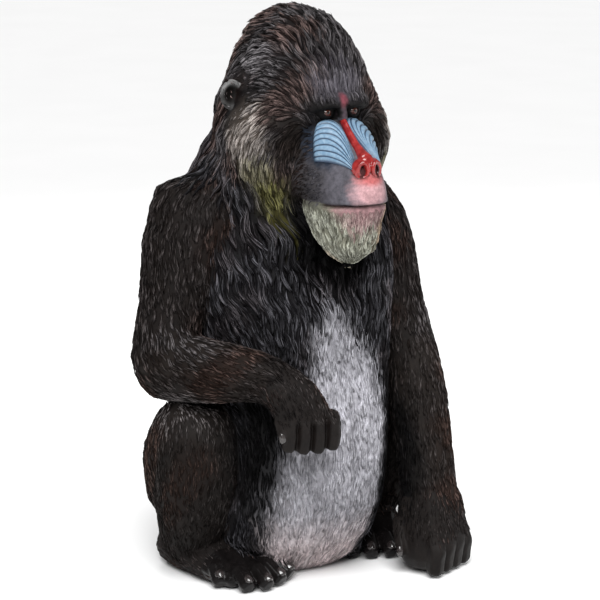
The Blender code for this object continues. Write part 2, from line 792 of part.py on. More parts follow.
def make_leg(word, torso, arms):
    """Thigh, shin and foot of one side."""
    placed = left_leg if word == "left" else list
    thigh = tube(f"thigh_{word}", placed(THIGH), 6, 12, "coat_brown")
    floor_cut(thigh)
    clear_of(thigh, torso, *arms)
    shin = tube(f"shin_{word}", placed(SHIN), 7, 12, "coat_brown")
    clear_of(shin, thigh, torso, *arms)
    foot = tube(f"foot_{word}", placed(SOLE), 6, 12, "skin_black")
    pieces = []
    for tip, root in zip(TOE_TIPS, TOE_ROOTS):
        rows = []
        for share, up in ((0.0, 0.026), (0.55, 0.029), (1.0, 0.014)):
            x = root[0] + (tip[0] - root[0]) * share
            forward = root[1] + (tip[1] - root[1]) * share
            rows.append((x, forward, up, TOE_RADIUS, TOE_RADIUS))
        pieces.append(digit(placed(rows), 3))
    join(foot, pieces)
    floor_cut(foot)
    clear_of(foot, shin, thigh, torso, *arms)
    return thigh, shin, foot


def make_tail(torso):
    """Short stub of a tail, held up against the rump."""
    rows = [
        (0.000, -0.190, 0.110, 0.017, 0.017),
        (0.000, -0.216, 0.122, 0.015, 0.015),
        (0.000, -0.230, 0.148, 0.012, 0.012),
        (0.000, -0.234, 0.172, 0.009, 0.009),
    ]
    tail = tube("tail", rows, 6, 9, "coat_brown")
    return clear_of(tail, torso)


def main():
    """Builds every named piece of the statue."""
    for obj in list(bpy.data.objects):
        bpy.data.objects.remove(obj)
    torso = make_torso()
    neck = make_neck(torso)
    head = make_head(neck, torso)
    for side in (-1, 1):
        make_eye(side, head)
        make_ear(side, head, neck)
    muzzle = make_muzzle(head, neck)
    make_jaw(muzzle, head, neck, torso)
    ridges = [make_cheek_ridges(side, muzzle, head) for side in (-1, 1)]
    make_nose(muzzle, head, ridges)
    upper_right = make_upper_arm("upper_arm_right", UPPER_ARM_RIGHT, torso, neck)
    upper_left = make_upper_arm("upper_arm_left", UPPER_ARM_LEFT, torso, neck)
    fore_right = make_forearm(
        "forearm_right", FOREARM_RIGHT, (1, 0.3, 0), upper_right, torso
    )
    fore_left = make_forearm("forearm_left", FOREARM_LEFT, (1, 0, 0), upper_left, torso)
    hand_right = make_hand_right(fore_right, torso)
    hand_left = make_hand_left(fore_left, torso)
    make_leg("right", torso, (upper_right, fore_right, hand_right))
    make_leg("left", torso, (upper_left, fore_left, hand_left))
    make_tail(torso)


main()
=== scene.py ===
"""Looks of the sitting mandrill statue: life size, carved and painted resin.

Metres, +Z up. The animal faces -Y, and +X is its left. Places and headings are written as
(x, forward, up), where forward is distance along -Y. One skin replaces the casting's nodes of
flesh. The carved coat is solid strands that lie over the skin along the lie of the hair.
"""

import math

import bmesh
import bpy
import numpy as np
from mathutils import Matrix, Vector
from mathutils.bvhtree import BVHTree
from mathutils.kdtree import KDTree


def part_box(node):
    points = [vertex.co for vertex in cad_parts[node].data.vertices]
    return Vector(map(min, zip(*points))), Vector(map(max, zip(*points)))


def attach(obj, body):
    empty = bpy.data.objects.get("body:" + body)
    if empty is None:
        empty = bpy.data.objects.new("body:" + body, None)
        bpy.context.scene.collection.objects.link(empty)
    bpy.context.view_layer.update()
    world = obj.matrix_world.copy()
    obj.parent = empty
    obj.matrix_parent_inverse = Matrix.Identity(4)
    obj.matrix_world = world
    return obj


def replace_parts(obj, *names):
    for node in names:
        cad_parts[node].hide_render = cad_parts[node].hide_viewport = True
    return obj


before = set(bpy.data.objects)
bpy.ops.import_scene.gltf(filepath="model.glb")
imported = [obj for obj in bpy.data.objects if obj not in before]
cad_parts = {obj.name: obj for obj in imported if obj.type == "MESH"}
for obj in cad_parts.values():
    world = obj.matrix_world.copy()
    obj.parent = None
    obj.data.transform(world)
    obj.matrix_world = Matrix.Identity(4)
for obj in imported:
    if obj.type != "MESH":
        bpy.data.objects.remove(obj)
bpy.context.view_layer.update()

# Skin
SKIN_VOXEL = 0.0016
SKIN_TRIANGLES = 190_000
SWELL = 0.0004
MERGE = 1e-6

# Face: the same places as in the solids
MOUTH_HEIGHT = 0.6205
MOUTH_HALF_WIDTH = 0.050
EYE_SIDE = 0.0235
EYE_FORWARD = 0.1470
EYE_HEIGHT = 0.7530
EYE_RADIUS = 0.0098
RIDGE_RIBS = 9
RIDGE_CROWN = 0.0070
EAR_PLACE = (0.115, 0.026, 0.772)
NOSTRIL_SIDE = 0.0126
NOSTRIL_HEIGHT = 0.6750

# Coat
STRANDS_SHORT = 62_000
STRANDS_LONG = 43_500
LOCKS_SHORT = 9_000
LOCKS_LONG = 2_600
LOCK_STEPS = 9
SEED = 11
PIECE_TRIANGLES = 190_000
TUFT_PATCH = 0.003
EAR_CLEAR = 0.027

# Lowest height of the coat over the floor, and of the beard's tip
COAT_LOW = 0.0006
BEARD_LOW = 0.5245

# How far under the skin the middle of a strand may lie before it leaves its lock
DEEPEST = 0.0010

# Width and height along a lock and along a strand: shares of its length, and factors there
LOCK_TAPER = ((0, 0.3, 0.65, 1), (0.60, 1.0, 0.82, 0.12))
LOCK_ARCH = ((0, 0.35, 0.8, 1), (0.10, 0.95, 1.0, 0.70))
STRAND_TAPER = ((0, 0.3, 0.7, 1), (0.45, 1.0, 0.75, 0.0))
STRAND_ARCH = ((0, 0.25, 0.7, 1), (0.10, 1.0, 0.90, 0.55))

# Studio
ROOM_LIGHT = 0.24
LAMPS_AIM = (0, 0, 0.45)

# Lamps: place, size, power
LAMPS = [
    ("key", (-1.7, -2.3, 2.0), 1.0, 58),
    ("fill", (2.2, -1.6, 1.2), 1.2, 20),
    ("rim", (0.8, 2.4, 2.0), 1.2, 30),
]

# The photograph: its pixels, its pixels to a metre, where the middle of the statue is in it,
# its angles in degrees, and the camera's distance, aim and film
PHOTO_SIZE = 600
PHOTO_SCALE = 628
PHOTO_MIDDLE = (290, 302)
PHOTO_TURN = -30
PHOTO_RISE = 12
PHOTO_DISTANCE = 4.0
PHOTO_AIM = (0, 0, 0.43)
SENSOR = 36

# Nodes of flesh, which one skin replaces
FLESH = (
    "torso", "neck", "head", "muzzle", "jaw", "ear_left", "ear_right",
    "upper_arm_left", "upper_arm_right", "forearm_left", "forearm_right", "hand_left", "hand_right",
    "thigh_left", "thigh_right", "shin_left", "shin_right", "foot_left", "foot_right", "tail",
)

# Lie of the hair on the head, neck and trunk: places on the left side and the headings there
LIE = [
    ((0.000, 0.150, 0.785), (0.00, -0.40, 0.90)),
    ((0.000, 0.125, 0.835), (0.00, -0.60, 0.80)),
    ((0.000, 0.095, 0.875), (0.00, -0.85, 0.45)),
    ((0.000, 0.000, 0.900), (0.00, -1.00, 0.00)),
    ((0.000, -0.070, 0.865), (0.00, -0.50, -0.85)),
    ((0.000, -0.105, 0.790), (0.00, -0.15, -1.00)),
    ((0.085, 0.100, 0.800), (0.15, -0.80, 0.45)),
    ((0.095, 0.050, 0.805), (0.10, -0.90, 0.05)),
    ((0.085, -0.030, 0.820), (0.05, -0.60, -0.75)),
    ((0.110, -0.010, 0.765), (0.05, -0.50, -0.85)),
    ((0.110, 0.100, 0.720), (0.30, -0.70, -0.55)),
    ((0.120, 0.065, 0.690), (0.05, -0.15, -1.00)),
    ((0.112, 0.085, 0.650), (-0.25, 0.45, -0.88)),
    ((0.085, 0.110, 0.620), (-0.45, 0.40, -0.80)),
    ((0.135, -0.020, 0.640), (-0.15, 0.45, -0.90)),
    ((0.130, 0.040, 0.600), (-0.50, 0.45, -0.75)),
    ((0.080, -0.120, 0.650), (0.10, 0.00, -1.00)),
    ((0.130, 0.050, 0.540), (-0.55, 0.30, -0.78)),
    ((0.070, 0.110, 0.520), (-0.55, 0.10, -0.83)),
    ((0.000, 0.130, 0.480), (0.00, 0.05, -1.00)),
    ((0.000, -0.200, 0.450), (0.00, 0.00, -1.00)),
    ((0.060, 0.160, 0.300), (-0.12, 0.00, -1.00)),
    ((0.140, 0.000, 0.250), (0.00, 0.10, -1.00)),
    ((0.090, -0.180, 0.150), (0.10, 0.00, -1.00)),
]

# Heading of the hair on the limbs and the lower face, as if each lay on the left side. A right
# one that isn't listed takes the left one's
LIMB_LIE = {
    "muzzle": (0.20, -0.80, -0.35),
    "jaw": (0.00, 0.10, -1.00),
    "ear_left": (0.50, -0.20, 0.80),
    "upper_arm_left": (0.10, 0.05, -1.00),
    "upper_arm_right": (0.05, -0.02, -1.00),
    "forearm_left": (0.00, 0.35, -0.95),
    "forearm_right": (-0.38, 0.85, -0.22),
    "hand_left": (0.00, 0.20, -1.00),
    "hand_right": (-0.20, 0.50, -0.80),
    "thigh_left": (0.15, 0.25, -0.90),
    "shin_left": (0.00, -0.20, -1.00),
    "foot_left": (0.00, 0.95, -0.30),
    "tail": (0.00, -0.30, 0.95),
}

# Strands of each node: share of the area, length, width, lift
STRANDS = {
    "torso": (1.0, 0.030, 0.0018, 0.0013),
    "neck": (1.2, 0.042, 0.0018, 0.0015),
    "head": (1.6, 0.031, 0.0014, 0.0011),
    "muzzle": (1.6, 0.010, 0.0010, 0.0004),
    "jaw": (2.2, 0.019, 0.0017, 0.0012),
    "ear_left": (0.35, 0.008, 0.0012, 0.0006),
    "upper_arm_left": (1.1, 0.018, 0.0016, 0.0009),
    "forearm_left": (1.1, 0.017, 0.0015, 0.0008),
    "hand_left": (0.7, 0.011, 0.0014, 0.0006),
    "thigh_left": (0.9, 0.017, 0.0016, 0.0008),
    "shin_left": (0.9, 0.014, 0.0014, 0.0007),
    "foot_left": (0.5, 0.010, 0.0014, 0.0006),
    "tail": (1.0, 0.022, 0.0020, 0.0012),
}

# Locks that the strands lie on, of each node: width, height, length, waviness
LOCKS = {
    "torso": (0.0120, 0.0042, 0.062, 0.35),
    "neck": (0.0150, 0.0080, 0.090, 0.55),
    "head": (0.0100, 0.0044, 0.056, 0.30),
    "muzzle": (0.0060, 0.0008, 0.020, 0.10),
    "jaw": (0.0090, 0.0040, 0.034, 0.30),
    "ear_left": (0.0050, 0.0006, 0.014, 0.10),
    "upper_arm_left": (0.0085, 0.0016, 0.036, 0.25),
    "forearm_left": (0.0080, 0.0013, 0.034, 0.20),
    "hand_left": (0.0060, 0.0007, 0.018, 0.10),
    "thigh_left": (0.0080, 0.0015, 0.036, 0.20),
    "shin_left": (0.0075, 0.0011, 0.030, 0.20),
    "foot_left": (0.0060, 0.0006, 0.016, 0.10),
    "tail": (0.0080, 0.0018, 0.032, 0.20),
}

# Paint of each node: colour in the hollows, colour dry-brushed on the ridges, how much brushing
PAINT = {
    "torso": ((0.0034, 0.0031, 0.0037), (0.145, 0.143, 0.160), 0.58),
    "neck": ((0.0026, 0.0024, 0.0028), (0.150, 0.148, 0.165), 0.58),
    "head": ((0.0055, 0.0046, 0.0048), (0.175, 0.163, 0.170), 0.70),
    "muzzle": ((0.0080, 0.0060, 0.0052), (0.070, 0.055, 0.050), 0.55),
    "jaw": ((0.120, 0.120, 0.092), (0.52, 0.53, 0.45), 0.92),
    "ear_left": ((0.0100, 0.0080, 0.0080), (0.30, 0.28, 0.29), 0.80),
    "upper_arm_left": ((0.0056, 0.0040, 0.0035), (0.098, 0.086, 0.085), 0.60),
    "forearm_left": ((0.0082, 0.0060, 0.0050), (0.100, 0.087, 0.085), 0.62),
    "hand_left": ((0.0070, 0.0052, 0.0046), (0.110, 0.096, 0.094), 0.55),
    "thigh_left": ((0.0068, 0.0049, 0.0042), (0.112, 0.099, 0.095), 0.60),
    "shin_left": ((0.0052, 0.0038, 0.0032), (0.070, 0.062, 0.060), 0.55),
    "foot_left": ((0.0150, 0.0112, 0.0105), (0.105, 0.091, 0.088), 0.55),
    "tail": ((0.0070, 0.0055, 0.0048), (0.120, 0.105, 0.10), 0.60),
}

# Marks over the paint: place, radii, hollow colour, ridge colour, brushing; x is mirrored. Some are painted
# shade or painted highlights, as said above their rows
MARKS = [
    ((0.122, 0.070, 0.720), (0.046, 0.054, 0.054), (0.050, 0.040, 0.033), (0.52, 0.47, 0.44), 0.95),
    ((0.112, 0.090, 0.658), (0.028, 0.040, 0.034), (0.032, 0.028, 0.016), (0.35, 0.325, 0.23), 0.95),
    ((0.085, 0.098, 0.620), (0.032, 0.040, 0.036), (0.020, 0.018, 0.005), (0.26, 0.250, 0.10), 0.95),
    # Black coat beside the muzzle: black hair, and partly painted shade of the muzzle and jaw
    ((0.075, 0.140, 0.705), (0.036, 0.040, 0.045), (0.0050, 0.0036, 0.0030), (0.060, 0.046, 0.042), 0.45),
    ((0.070, 0.155, 0.640), (0.022, 0.035, 0.022), (0.020, 0.019, 0.015), (0.13, 0.125, 0.105), 0.65),
    ((0.000, 0.160, 0.795), (0.064, 0.040, 0.034), (0.046, 0.042, 0.050), (0.18, 0.169, 0.193), 0.85),
    ((0.082, 0.050, 0.825), (0.038, 0.060, 0.045), (0.015, 0.013, 0.014), (0.34, 0.320, 0.335), 0.90),
    # Painted shade: near-black coat under the chin, where the beard casts its shadow
    ((0.020, 0.105, 0.538), (0.068, 0.060, 0.060), (0.0010, 0.0009, 0.0010), (0.010, 0.009, 0.010), 0.20),
    # Painted shade: near-black coat on the trunk's sides, between the belly and the legs and arms
    ((0.120, 0.140, 0.220), (0.048, 0.110, 0.200), (0.0012, 0.0011, 0.0012), (0.022, 0.021, 0.023), 0.30),
    # Painted highlight: lighter brushing over the tops of the knees, where the light falls
    ((0.215, 0.040, 0.290), (0.060, 0.070, 0.050), (0.0080, 0.0060, 0.0052), (0.22, 0.200, 0.200), 0.85),
    # Painted highlight: lighter brushing along the tops of the forearms, where the light falls
    ((0.225, 0.060, 0.400), (0.060, 0.110, 0.032), (0.0080, 0.0060, 0.0052), (0.19, 0.175, 0.180), 0.80),
]

# The pink at the top of the beard, in the same way
BEARD_TOP = (
    (0.000, 0.236, 0.6070), (0.052, 0.060, 0.0280), (0.23, 0.145, 0.145), (0.43, 0.305, 0.30), 0.90
)

# Hollow and ridge colour of the coat on the front of the muzzle
MUZZLE_COAT = ((0.046, 0.044, 0.051), (0.15, 0.146, 0.166))

# Hollow and ridge colour of the belly, each with what is added to it low down
BELLY = (
    ((0.33, 0.325, 0.355), (0.16, 0.11, 0.09)),
    ((0.58, 0.575, 0.62), (0.26, 0.15, 0.12)),
)

# Half width of the belly's pale patch: height, half width
BELLY_EDGE = (
    (0.00, 0.070), (0.06, 0.084), (0.14, 0.090), (0.24, 0.084), (0.33, 0.066),
    (0.40, 0.040), (0.44, 0.014), (0.47, -0.016), (0.49, -0.040),
)

# How far forward the coat of the muzzle ends: height, forward
MUZZLE_EDGE = (
    (0.60, 0.184), (0.62, 0.181), (0.635, 0.192), (0.65, 0.197),
    (0.67, 0.188), (0.684, 0.167), (0.733, 0.146), (0.75, 0.130),
)

# Change of the paint in its warmer patches
WARM_TINT = (0.34, 0.02, -0.10)

# Marks of the bare face: place, radii, colour, how fast the edge falls off; x is mirrored. Some are painted
# shade, as said above their rows
FACE_MARKS = [
    # Painted shade: darker grey on the sides of the bare muzzle, under the cheek fur
    ((0.048, 0.150, 0.6550), (0.0300, 0.034, 0.0380), (0.036, 0.033, 0.036), 0.7),
    # Painted shade: dark blue skin along the edge of the ribbed cheek
    ((0.045, 0.178, 0.7080), (0.0210, 0.050, 0.0330), (0.012, 0.018, 0.030), 1.6),
    ((0.000, 0.162, 0.7530), (0.0080, 0.020, 0.0090), (0.055, 0.040, 0.050), 1.6),
    ((0.000, 0.166, 0.7720), (0.0060, 0.020, 0.0110), (0.140, 0.036, 0.048), 0.8),
    ((0.0235, 0.156, 0.7540), (0.0215, 0.034, 0.0160), (0.0022, 0.0018, 0.0019), 2.4),
    ((0.000, 0.244, 0.6440), (0.0290, 0.024, 0.0230), (0.400, 0.235, 0.246), 0.8),
    ((0.000, 0.240, 0.6620), (0.0230, 0.020, 0.0100), (0.300, 0.080, 0.080), 0.9),
    ((0.000, 0.236, 0.6120), (0.0500, 0.060, 0.0090), (0.260, 0.150, 0.156), 1.2),
    # Dark red-black in the nostrils: dark paint, and partly painted shade of the holes
    ((0.0122, 0.232, 0.6750), (0.0130, 0.016, 0.0150), (0.030, 0.004, 0.004), 3.0),
]

# Colour of the bare muzzle, mouth line, hands and toes, and the painted highlight of the ears' rims
MUZZLE_GREY = (0.072, 0.069, 0.081)
MOUTH_DARK = (0.012, 0.004, 0.004)
HAND_BROWN = (0.0062, 0.0046, 0.0041)
TOE_BLACK = (0.0050, 0.0042, 0.0042)
EAR_RIM_HIGHLIGHT = 0.16

# Rows of fingers: middle, heading across them, spacing, height of the knuckles, of the tips
FINGERS = [
    ((-0.085, 0.213), (0.950, 0.312), 0.0226, 0.292, 0.236),
    ((0.192, 0.177), (0.900, -0.436), 0.0274, 0.046, 0.000),
]

# Toes as in the solids, and how far the left leg is set out and back
TOE_TIPS = [(-0.169, 0.073), (-0.142, 0.114), (-0.112, 0.122), (-0.082, 0.110), (-0.056, 0.092)]
TOE_ROOTS = [(-0.160, 0.034), (-0.142, 0.058), (-0.120, 0.064), (-0.100, 0.058), (-0.086, 0.044)]
LEFT_LEG_OUT = 0.034
LEFT_LEG_BACK = 0.045

# Points across and along a nail
NAIL_GRID = (9, 11)

# Thumb nails: place off the digit, heading
THUMB_NAILS = {
    "right": ((-0.140, 0.210, 0.272), (0.00, 0.10, -1.00)),
    "left": ((0.106, 0.156, 0.042), (0.00, 0.10, -1.00)),
}

# Folds above and below the left eye: places along each, thickness
EYE_FOLDS = [
    (((0.008, 0.166, 0.7625), (0.024, 0.1655, 0.7655), (0.041, 0.155, 0.7600)), 0.0042),
    (((0.011, 0.163, 0.7455), (0.024, 0.162, 0.7420), (0.038, 0.153, 0.7450)), 0.0019),
]

# Bridge between the eyes: places along it, and half sizes there
BRIDGE = [(0, 0.150, 0.766), (0, 0.158, 0.752), (0, 0.160, 0.740)]
BRIDGE_SIZES = [(0.009, 0.010), (0.0075, 0.009), (0.008, 0.008)]

# Red stripe of the nose: forward, up, half width, half depth
NOSE_STRIPE = [
    (0.1530, 0.7465, 0.0040, 0.0045),
    (0.1620, 0.7375, 0.0046, 0.0070),
    (0.1775, 0.7225, 0.0054, 0.0078),
    (0.1960, 0.7070, 0.0062, 0.0082),
    (0.2125, 0.6965, 0.0085, 0.0090),
    (0.2250, 0.6885, 0.0130, 0.0110),
]

# Left cheek: the outer end, the bend and the tip, each for the top rib and the lowest rib
RIDGE_LINES = [
    ((0.0380, 0.1390, 0.7335), (0.0530, 0.1630, 0.6810)),
    ((-0.0110, 0.1270, 0.7590), (0.0350, 0.1990, 0.6855)),
    ((0.0150, 0.2185, 0.6905), (0.0230, 0.2278, 0.6741)),
]

# Moves of the skin that finish the outline: place, radii, push
PUSHES = [
    ((0.000, 0.200, 0.525), (0.050, 0.050, 0.030), (0.000, 0.000, 0.009)),
    ((-0.190, -0.030, 0.600), (0.070, 0.080, 0.050), (-0.010, 0.000, 0.013)),
    ((0.175, -0.030, 0.600), (0.060, 0.080, 0.050), (0.004, 0.000, 0.008)),
    ((-0.205, 0.030, 0.262), (0.050, 0.070, 0.045), (-0.008, 0.004, 0.012)),
]


def at(x, forward, up):
    """A point or heading from the animal's own directions."""
    return Vector((x, -forward, up))


def spots(rows):
    """An array of points from rows of (x, forward, up)."""
    points = np.array(rows, float).reshape(-1, 3)
    points[:, 1] *= -1
    return points


def mirrored(points):
    """The points as rows of (x, forward, up), all of them on the left side."""
    rows = points * np.array([1, -1, 1])
    rows[:, 0] = np.abs(rows[:, 0])
    return rows


def reach_of(rows, place, radii=(1, 1, 1)):
    """How far each row lies from a place, counted in radii."""
    return np.linalg.norm((rows - np.array(place)) / np.array(radii), axis=1)


def smoothstep(low, high, values):
    """0 below low, 1 above high, and smooth between them."""
    t = np.clip((values - low) / (high - low), 0, 1)
    return t * t * (3 - 2 * t)


def bell(values, width):
    """1 at zero, falling off smoothly over the width on both sides."""
    return np.exp(-((values / width) ** 2))


def crossing(points, first, second):
    """A soft, irregular pattern between -1 and 1, from two crossing waves."""
    return np.sin(points @ np.array(first)) * np.sin(points @ np.array(second))


def toward(values, target, share):
    """The values moved to the target by each row's share of the way."""
    if values.ndim == 2:
        share = share[:, None]
    return values + share * (np.array(target) - values)


def unit(rows):
    """Each row made one long."""
    return rows / np.maximum(np.linalg.norm(rows, axis=-1, keepdims=True), 1e-9)


def lifted(points, lowest=0.0):
    """The points, with none of them lower than the given height."""
    points[..., 2] = np.maximum(points[..., 2], lowest)
    return points


def side_name(node):
    """The table key of a node: tables list the left one of a pair."""
    return node.replace("_right", "_left")


def owned(owner, *names):
    """Whether each owner is one of the named nodes."""
    return np.isin(owner, [FLESH.index(name) for name in names])


def by_owner(table, owner):
    """The columns of a table at each point, by the node that owns the point."""
    rows = [table[side_name(name)] for name in FLESH]
    return [np.array(column)[owner] for column in zip(*rows)]


def mesh_from(name, points, faces):
    """A mesh from rows of points and faces."""
    mesh = bpy.data.meshes.new(name)
    mesh.from_pydata([tuple(p) for p in points], [], faces)
    mesh.validate()
    return mesh


def mesh_of(bm, mesh):
    """Writes the edited surface into the mesh, and frees it."""
    bm.to_mesh(mesh)
    bm.free()
    return mesh


def faced_outward(mesh):
    """Turns the faces of a closed mesh outward."""
    bm = bmesh.new()
    bm.from_mesh(mesh)
    bmesh.ops.recalc_face_normals(bm, faces=bm.faces)
    return mesh_of(bm, mesh)


def painted(obj, material):
    """Gives the object its only material, with smooth shading."""
    obj.data.materials.clear()
    obj.data.materials.append(material)
    obj.data.shade_smooth()
    return obj


def new_object(name, mesh, material=None):
    """Links a mesh to the scene as an object."""
    obj = bpy.data.objects.new(name, mesh)
    bpy.context.scene.collection.objects.link(obj)
    return painted(obj, material) if material else obj


def rows_of(items, key, width, kind=float):
    """One value of every item of a mesh, as rows of the given width."""
    values = np.zeros(len(items) * width, kind)
    items.foreach_get(key, values)
    return values.reshape(-1, width)


def points_of(mesh):
    """The mesh's points as an array."""
    return rows_of(mesh.vertices, "co", 3)


def set_points(mesh, points):
    """Moves the mesh's points."""
    mesh.vertices.foreach_set("co", points.ravel())
    mesh.update()


def normals_of(mesh):
    """The mesh's vertex normals as an array."""
    return rows_of(mesh.vertex_normals, "vector", 3)


def edges_of(mesh):
    """The mesh's edges as an array of point pairs."""
    return rows_of(mesh.edges, "vertices", 2, np.int64)


def neighbour_mean(values, edges):
    """Each point's mean over its neighbours."""
    count = len(values)
    ends = np.concatenate([edges[:, 0], edges[:, 1]])
    others = np.concatenate([edges[:, 1], edges[:, 0]])
    number = np.maximum(np.bincount(ends, minlength=count), 1)
    total = [np.bincount(ends, column[others], minlength=count) for column in values.T]
    return np.stack(total, axis=1) / number[:, None]


def applied(obj):
    """Replaces the object's mesh by its evaluated one."""
    bpy.context.view_layer.update()
    graph = bpy.context.evaluated_depsgraph_get()
    mesh = bpy.data.meshes.new_from_object(obj.evaluated_get(graph))
    obj.modifiers.clear()
    old = obj.data
    obj.data = mesh
    bpy.data.meshes.remove(old)
    return obj


def remeshed(obj, voxel):
    """The union of the object's closed bodies, as one even mesh."""
    remesh = obj.modifiers.new("remesh", "REMESH")
    remesh.mode = "VOXEL"
    remesh.voxel_size = voxel
    return applied(obj)


def cut_out(obj, cutter):
    """Takes one closed body out of the object."""
    cut = obj.modifiers.new("cut", "BOOLEAN")
    cut.operation = "DIFFERENCE"
    cut.object = cutter
    applied(obj)
    bpy.data.objects.remove(cutter)
    return obj


def ball(name, centre, radii, sides=32):
    """A closed ellipsoid."""
    bm = bmesh.new()
    bmesh.ops.create_uvsphere(bm, u_segments=sides, v_segments=sides // 2, radius=1)
    for v in bm.verts:
        v.co = Vector((v.co.x * radii[0], v.co.y * radii[1], v.co.z * radii[2])) + centre
    return new_object(name, mesh_of(bm, bpy.data.meshes.new(name)))


def tube(name, centres, radii, side=Vector((1, 0, 0)), sides=16):
    """A closed tube through centres, with (across, deep) half sizes at each of them."""
    points, faces = [], []
    last = len(centres) - 1
    for i, (centre, (wide, deep)) in enumerate(zip(centres, radii)):
        along = (centres[min(i + 1, last)] - centres[max(i - 1, 0)]).normalized()
        across = (side - along * along.dot(side)).normalized()
        out = along.cross(across)
        for k in range(sides):
            turn = 2 * math.pi * k / sides
            points.append(centre + across * wide * math.cos(turn) + out * deep * math.sin(turn))
    for i in range(last):
        for k in range(sides):
            a, b = i * sides + k, i * sides + (k + 1) % sides
            faces.append((a, b, b + sides, a + sides))
    faces.append(tuple(reversed(range(sides))))
    faces.append(tuple(range(last * sides, (last + 1) * sides)))
    return new_object(name, mesh_from(name, points, faces))


def fused(name, parts, voxel):
    """Closed bodies joined into one object by remeshing."""
    bm = bmesh.new()
    for part in parts:
        bm.from_mesh(part.data)
        bpy.data.objects.remove(part)
    return remeshed(new_object(name, mesh_of(bm, bpy.data.meshes.new(name))), voxel)


def evened_out(points, edges, rounds, share):
    """The points moved toward the mean of their neighbours, by a share, round after round."""
    for _ in range(rounds):
        points += share * (neighbour_mean(points, edges) - points)
    return points


def curve_through(rows, count):
    """Rows of numbers read from a Catmull-Rom curve through the given rows."""
    keys = np.array(rows, float)
    ends = np.vstack([2 * keys[0] - keys[1], keys, 2 * keys[-1] - keys[-2]])
    out = []
    for place in np.linspace(0, len(keys) - 1, count):
        i = min(int(place), len(keys) - 2)
        t = place - i
        p0, p1, p2, p3 = ends[i : i + 4]
        bend = (2 * p0 - 5 * p1 + 4 * p2 - p3) * t**2 + (3 * p1 - p0 - 3 * p2 + p3) * t**3
        out.append(0.5 * (2 * p1 + (p2 - p0) * t + bend))
    return np.array(out)


def tree_of(points, faces):
    """A search tree over a surface."""
    return BVHTree.FromPolygons([tuple(p) for p in points], faces)


def triangles_of(mesh):
    """The mesh's triangles as an array."""
    mesh.calc_loop_triangles()
    return rows_of(mesh.loop_triangles, "vertices", 3, np.int64)


def flesh():
    """Points, triangles and owning node of the casting's flesh, with doubled corners merged."""
    points, faces, owners = [], [], []
    for number, name in enumerate(FLESH):
        bm = bmesh.new()
        bm.from_mesh(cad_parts[name].data)
        bmesh.ops.remove_doubles(bm, verts=bm.verts, dist=MERGE)
        bm.normal_update()
        start = len(points)
        points += [tuple(v.co + v.normal * SWELL) for v in bm.verts]
        faces += [[start + v.index for v in f.verts] for f in bm.faces]
        owners += [number] * len(bm.faces)
        bm.free()
    return points, faces, np.array(owners)


def lid_ball(side):
    """The rim of lids round one eye: a ball with an almond opening."""
    middle = at(side * EYE_SIDE, EYE_FORWARD, EYE_HEIGHT)
    rim = ball("lids", middle, (EYE_RADIUS + 0.0030, EYE_RADIUS + 0.0019, EYE_RADIUS + 0.0010))
    opening = ball("opening", Vector(), (0.0088, 0.0085, 0.0049))
    tilt = Matrix.Rotation(-side * math.radians(7), 4, "Y")
    opening.data.transform(Matrix.Translation(middle + at(0, 0.0120, -0.0004)) @ tilt)
    return cut_out(rim, opening)


def fold(rows, thickness):
    """A soft raised fold through rows of (x, forward, up), thin at its ends."""
    count = 15
    spine = [at(*row) for row in curve_through(rows, count)]
    shares = np.sin(np.linspace(0.12, 0.88, count) * math.pi) ** 0.6
    sizes = [(thickness * s, thickness * s) for s in shares]
    return tube("fold", spine, sizes, Vector((0, 0, 1)), 10)


def face_folds():
    """Lids, the folds above and below the eyes, and the bridge between them."""
    parts = []
    for side in (-1, 1):
        parts.append(lid_ball(side))
        for rows, thickness in EYE_FOLDS:
            parts.append(fold([(side * x, f, z) for x, f, z in rows], thickness))
    return [*parts, tube("bridge", [at(*row) for row in BRIDGE], BRIDGE_SIZES)]


def mouth_line(x):
    """Height of the line between the lips, which droops at the corners."""
    return MOUTH_HEIGHT - 0.0025 * smoothstep(0.030, 0.052, x)


def sculpt(points, normals):
    """Finishing moves of the skin: the outline, mouth line, lips and fingers."""
    for place, radii, push in PUSHES:
        apart = (points - spots([place])) / np.array(radii)
        share = np.clip(1 - (apart**2).sum(axis=1), 0, 1) ** 2
        points += share[:, None] * spots([push])
    x, forward, up = mirrored(points).T
    front = smoothstep(0.165, 0.195, forward)
    inside = smoothstep(MOUTH_HALF_WIDTH + 0.012, MOUTH_HALF_WIDTH - 0.004, x) * front
    off = up - mouth_line(x)
    lips = 0.0016 * bell(off - 0.0065, 0.0050) + 0.0016 * bell(off + 0.0060, 0.0045)
    move = inside * (lips - 0.0062 * bell(off, 0.0023))
    points += normals * move[:, None]
    return shape_fingers(points)


def shape_fingers(points):
    """Creases between the fingers of both hands, and their knuckles."""
    for middle, line, spacing, high, low in FINGERS:
        line = np.array(line)
        front = np.array([-line[1], line[0]])
        apart = np.stack([points[:, 0], -points[:, 1]], axis=1) - np.array(middle)
        across = apart @ line
        deep = apart @ front
        up = points[:, 2]
        here = (np.abs(across) < 2.2 * spacing) & (np.abs(deep) < 0.035) & (up > low - 0.02)
        fade = smoothstep(high + 0.012, high - 0.010, up) * here
        for k in range(3):
            crease = bell(across - (k - 1) * spacing, 0.0018)
            move = 0.0034 * crease * fade * smoothstep(-0.012, 0.004, deep)
            points[:, 0] -= front[0] * move
            points[:, 1] += front[1] * move
        for k in range(4):
            side = (across - (k - 1.5) * spacing) / (0.42 * spacing)
            knuckle = np.exp(-(side**2) - ((up - high) / 0.009) ** 2)
            move = 0.0036 * knuckle * here * smoothstep(-0.010, 0.004, deep)
            points[:, 0] += front[0] * move
            points[:, 1] -= front[1] * move
    return points


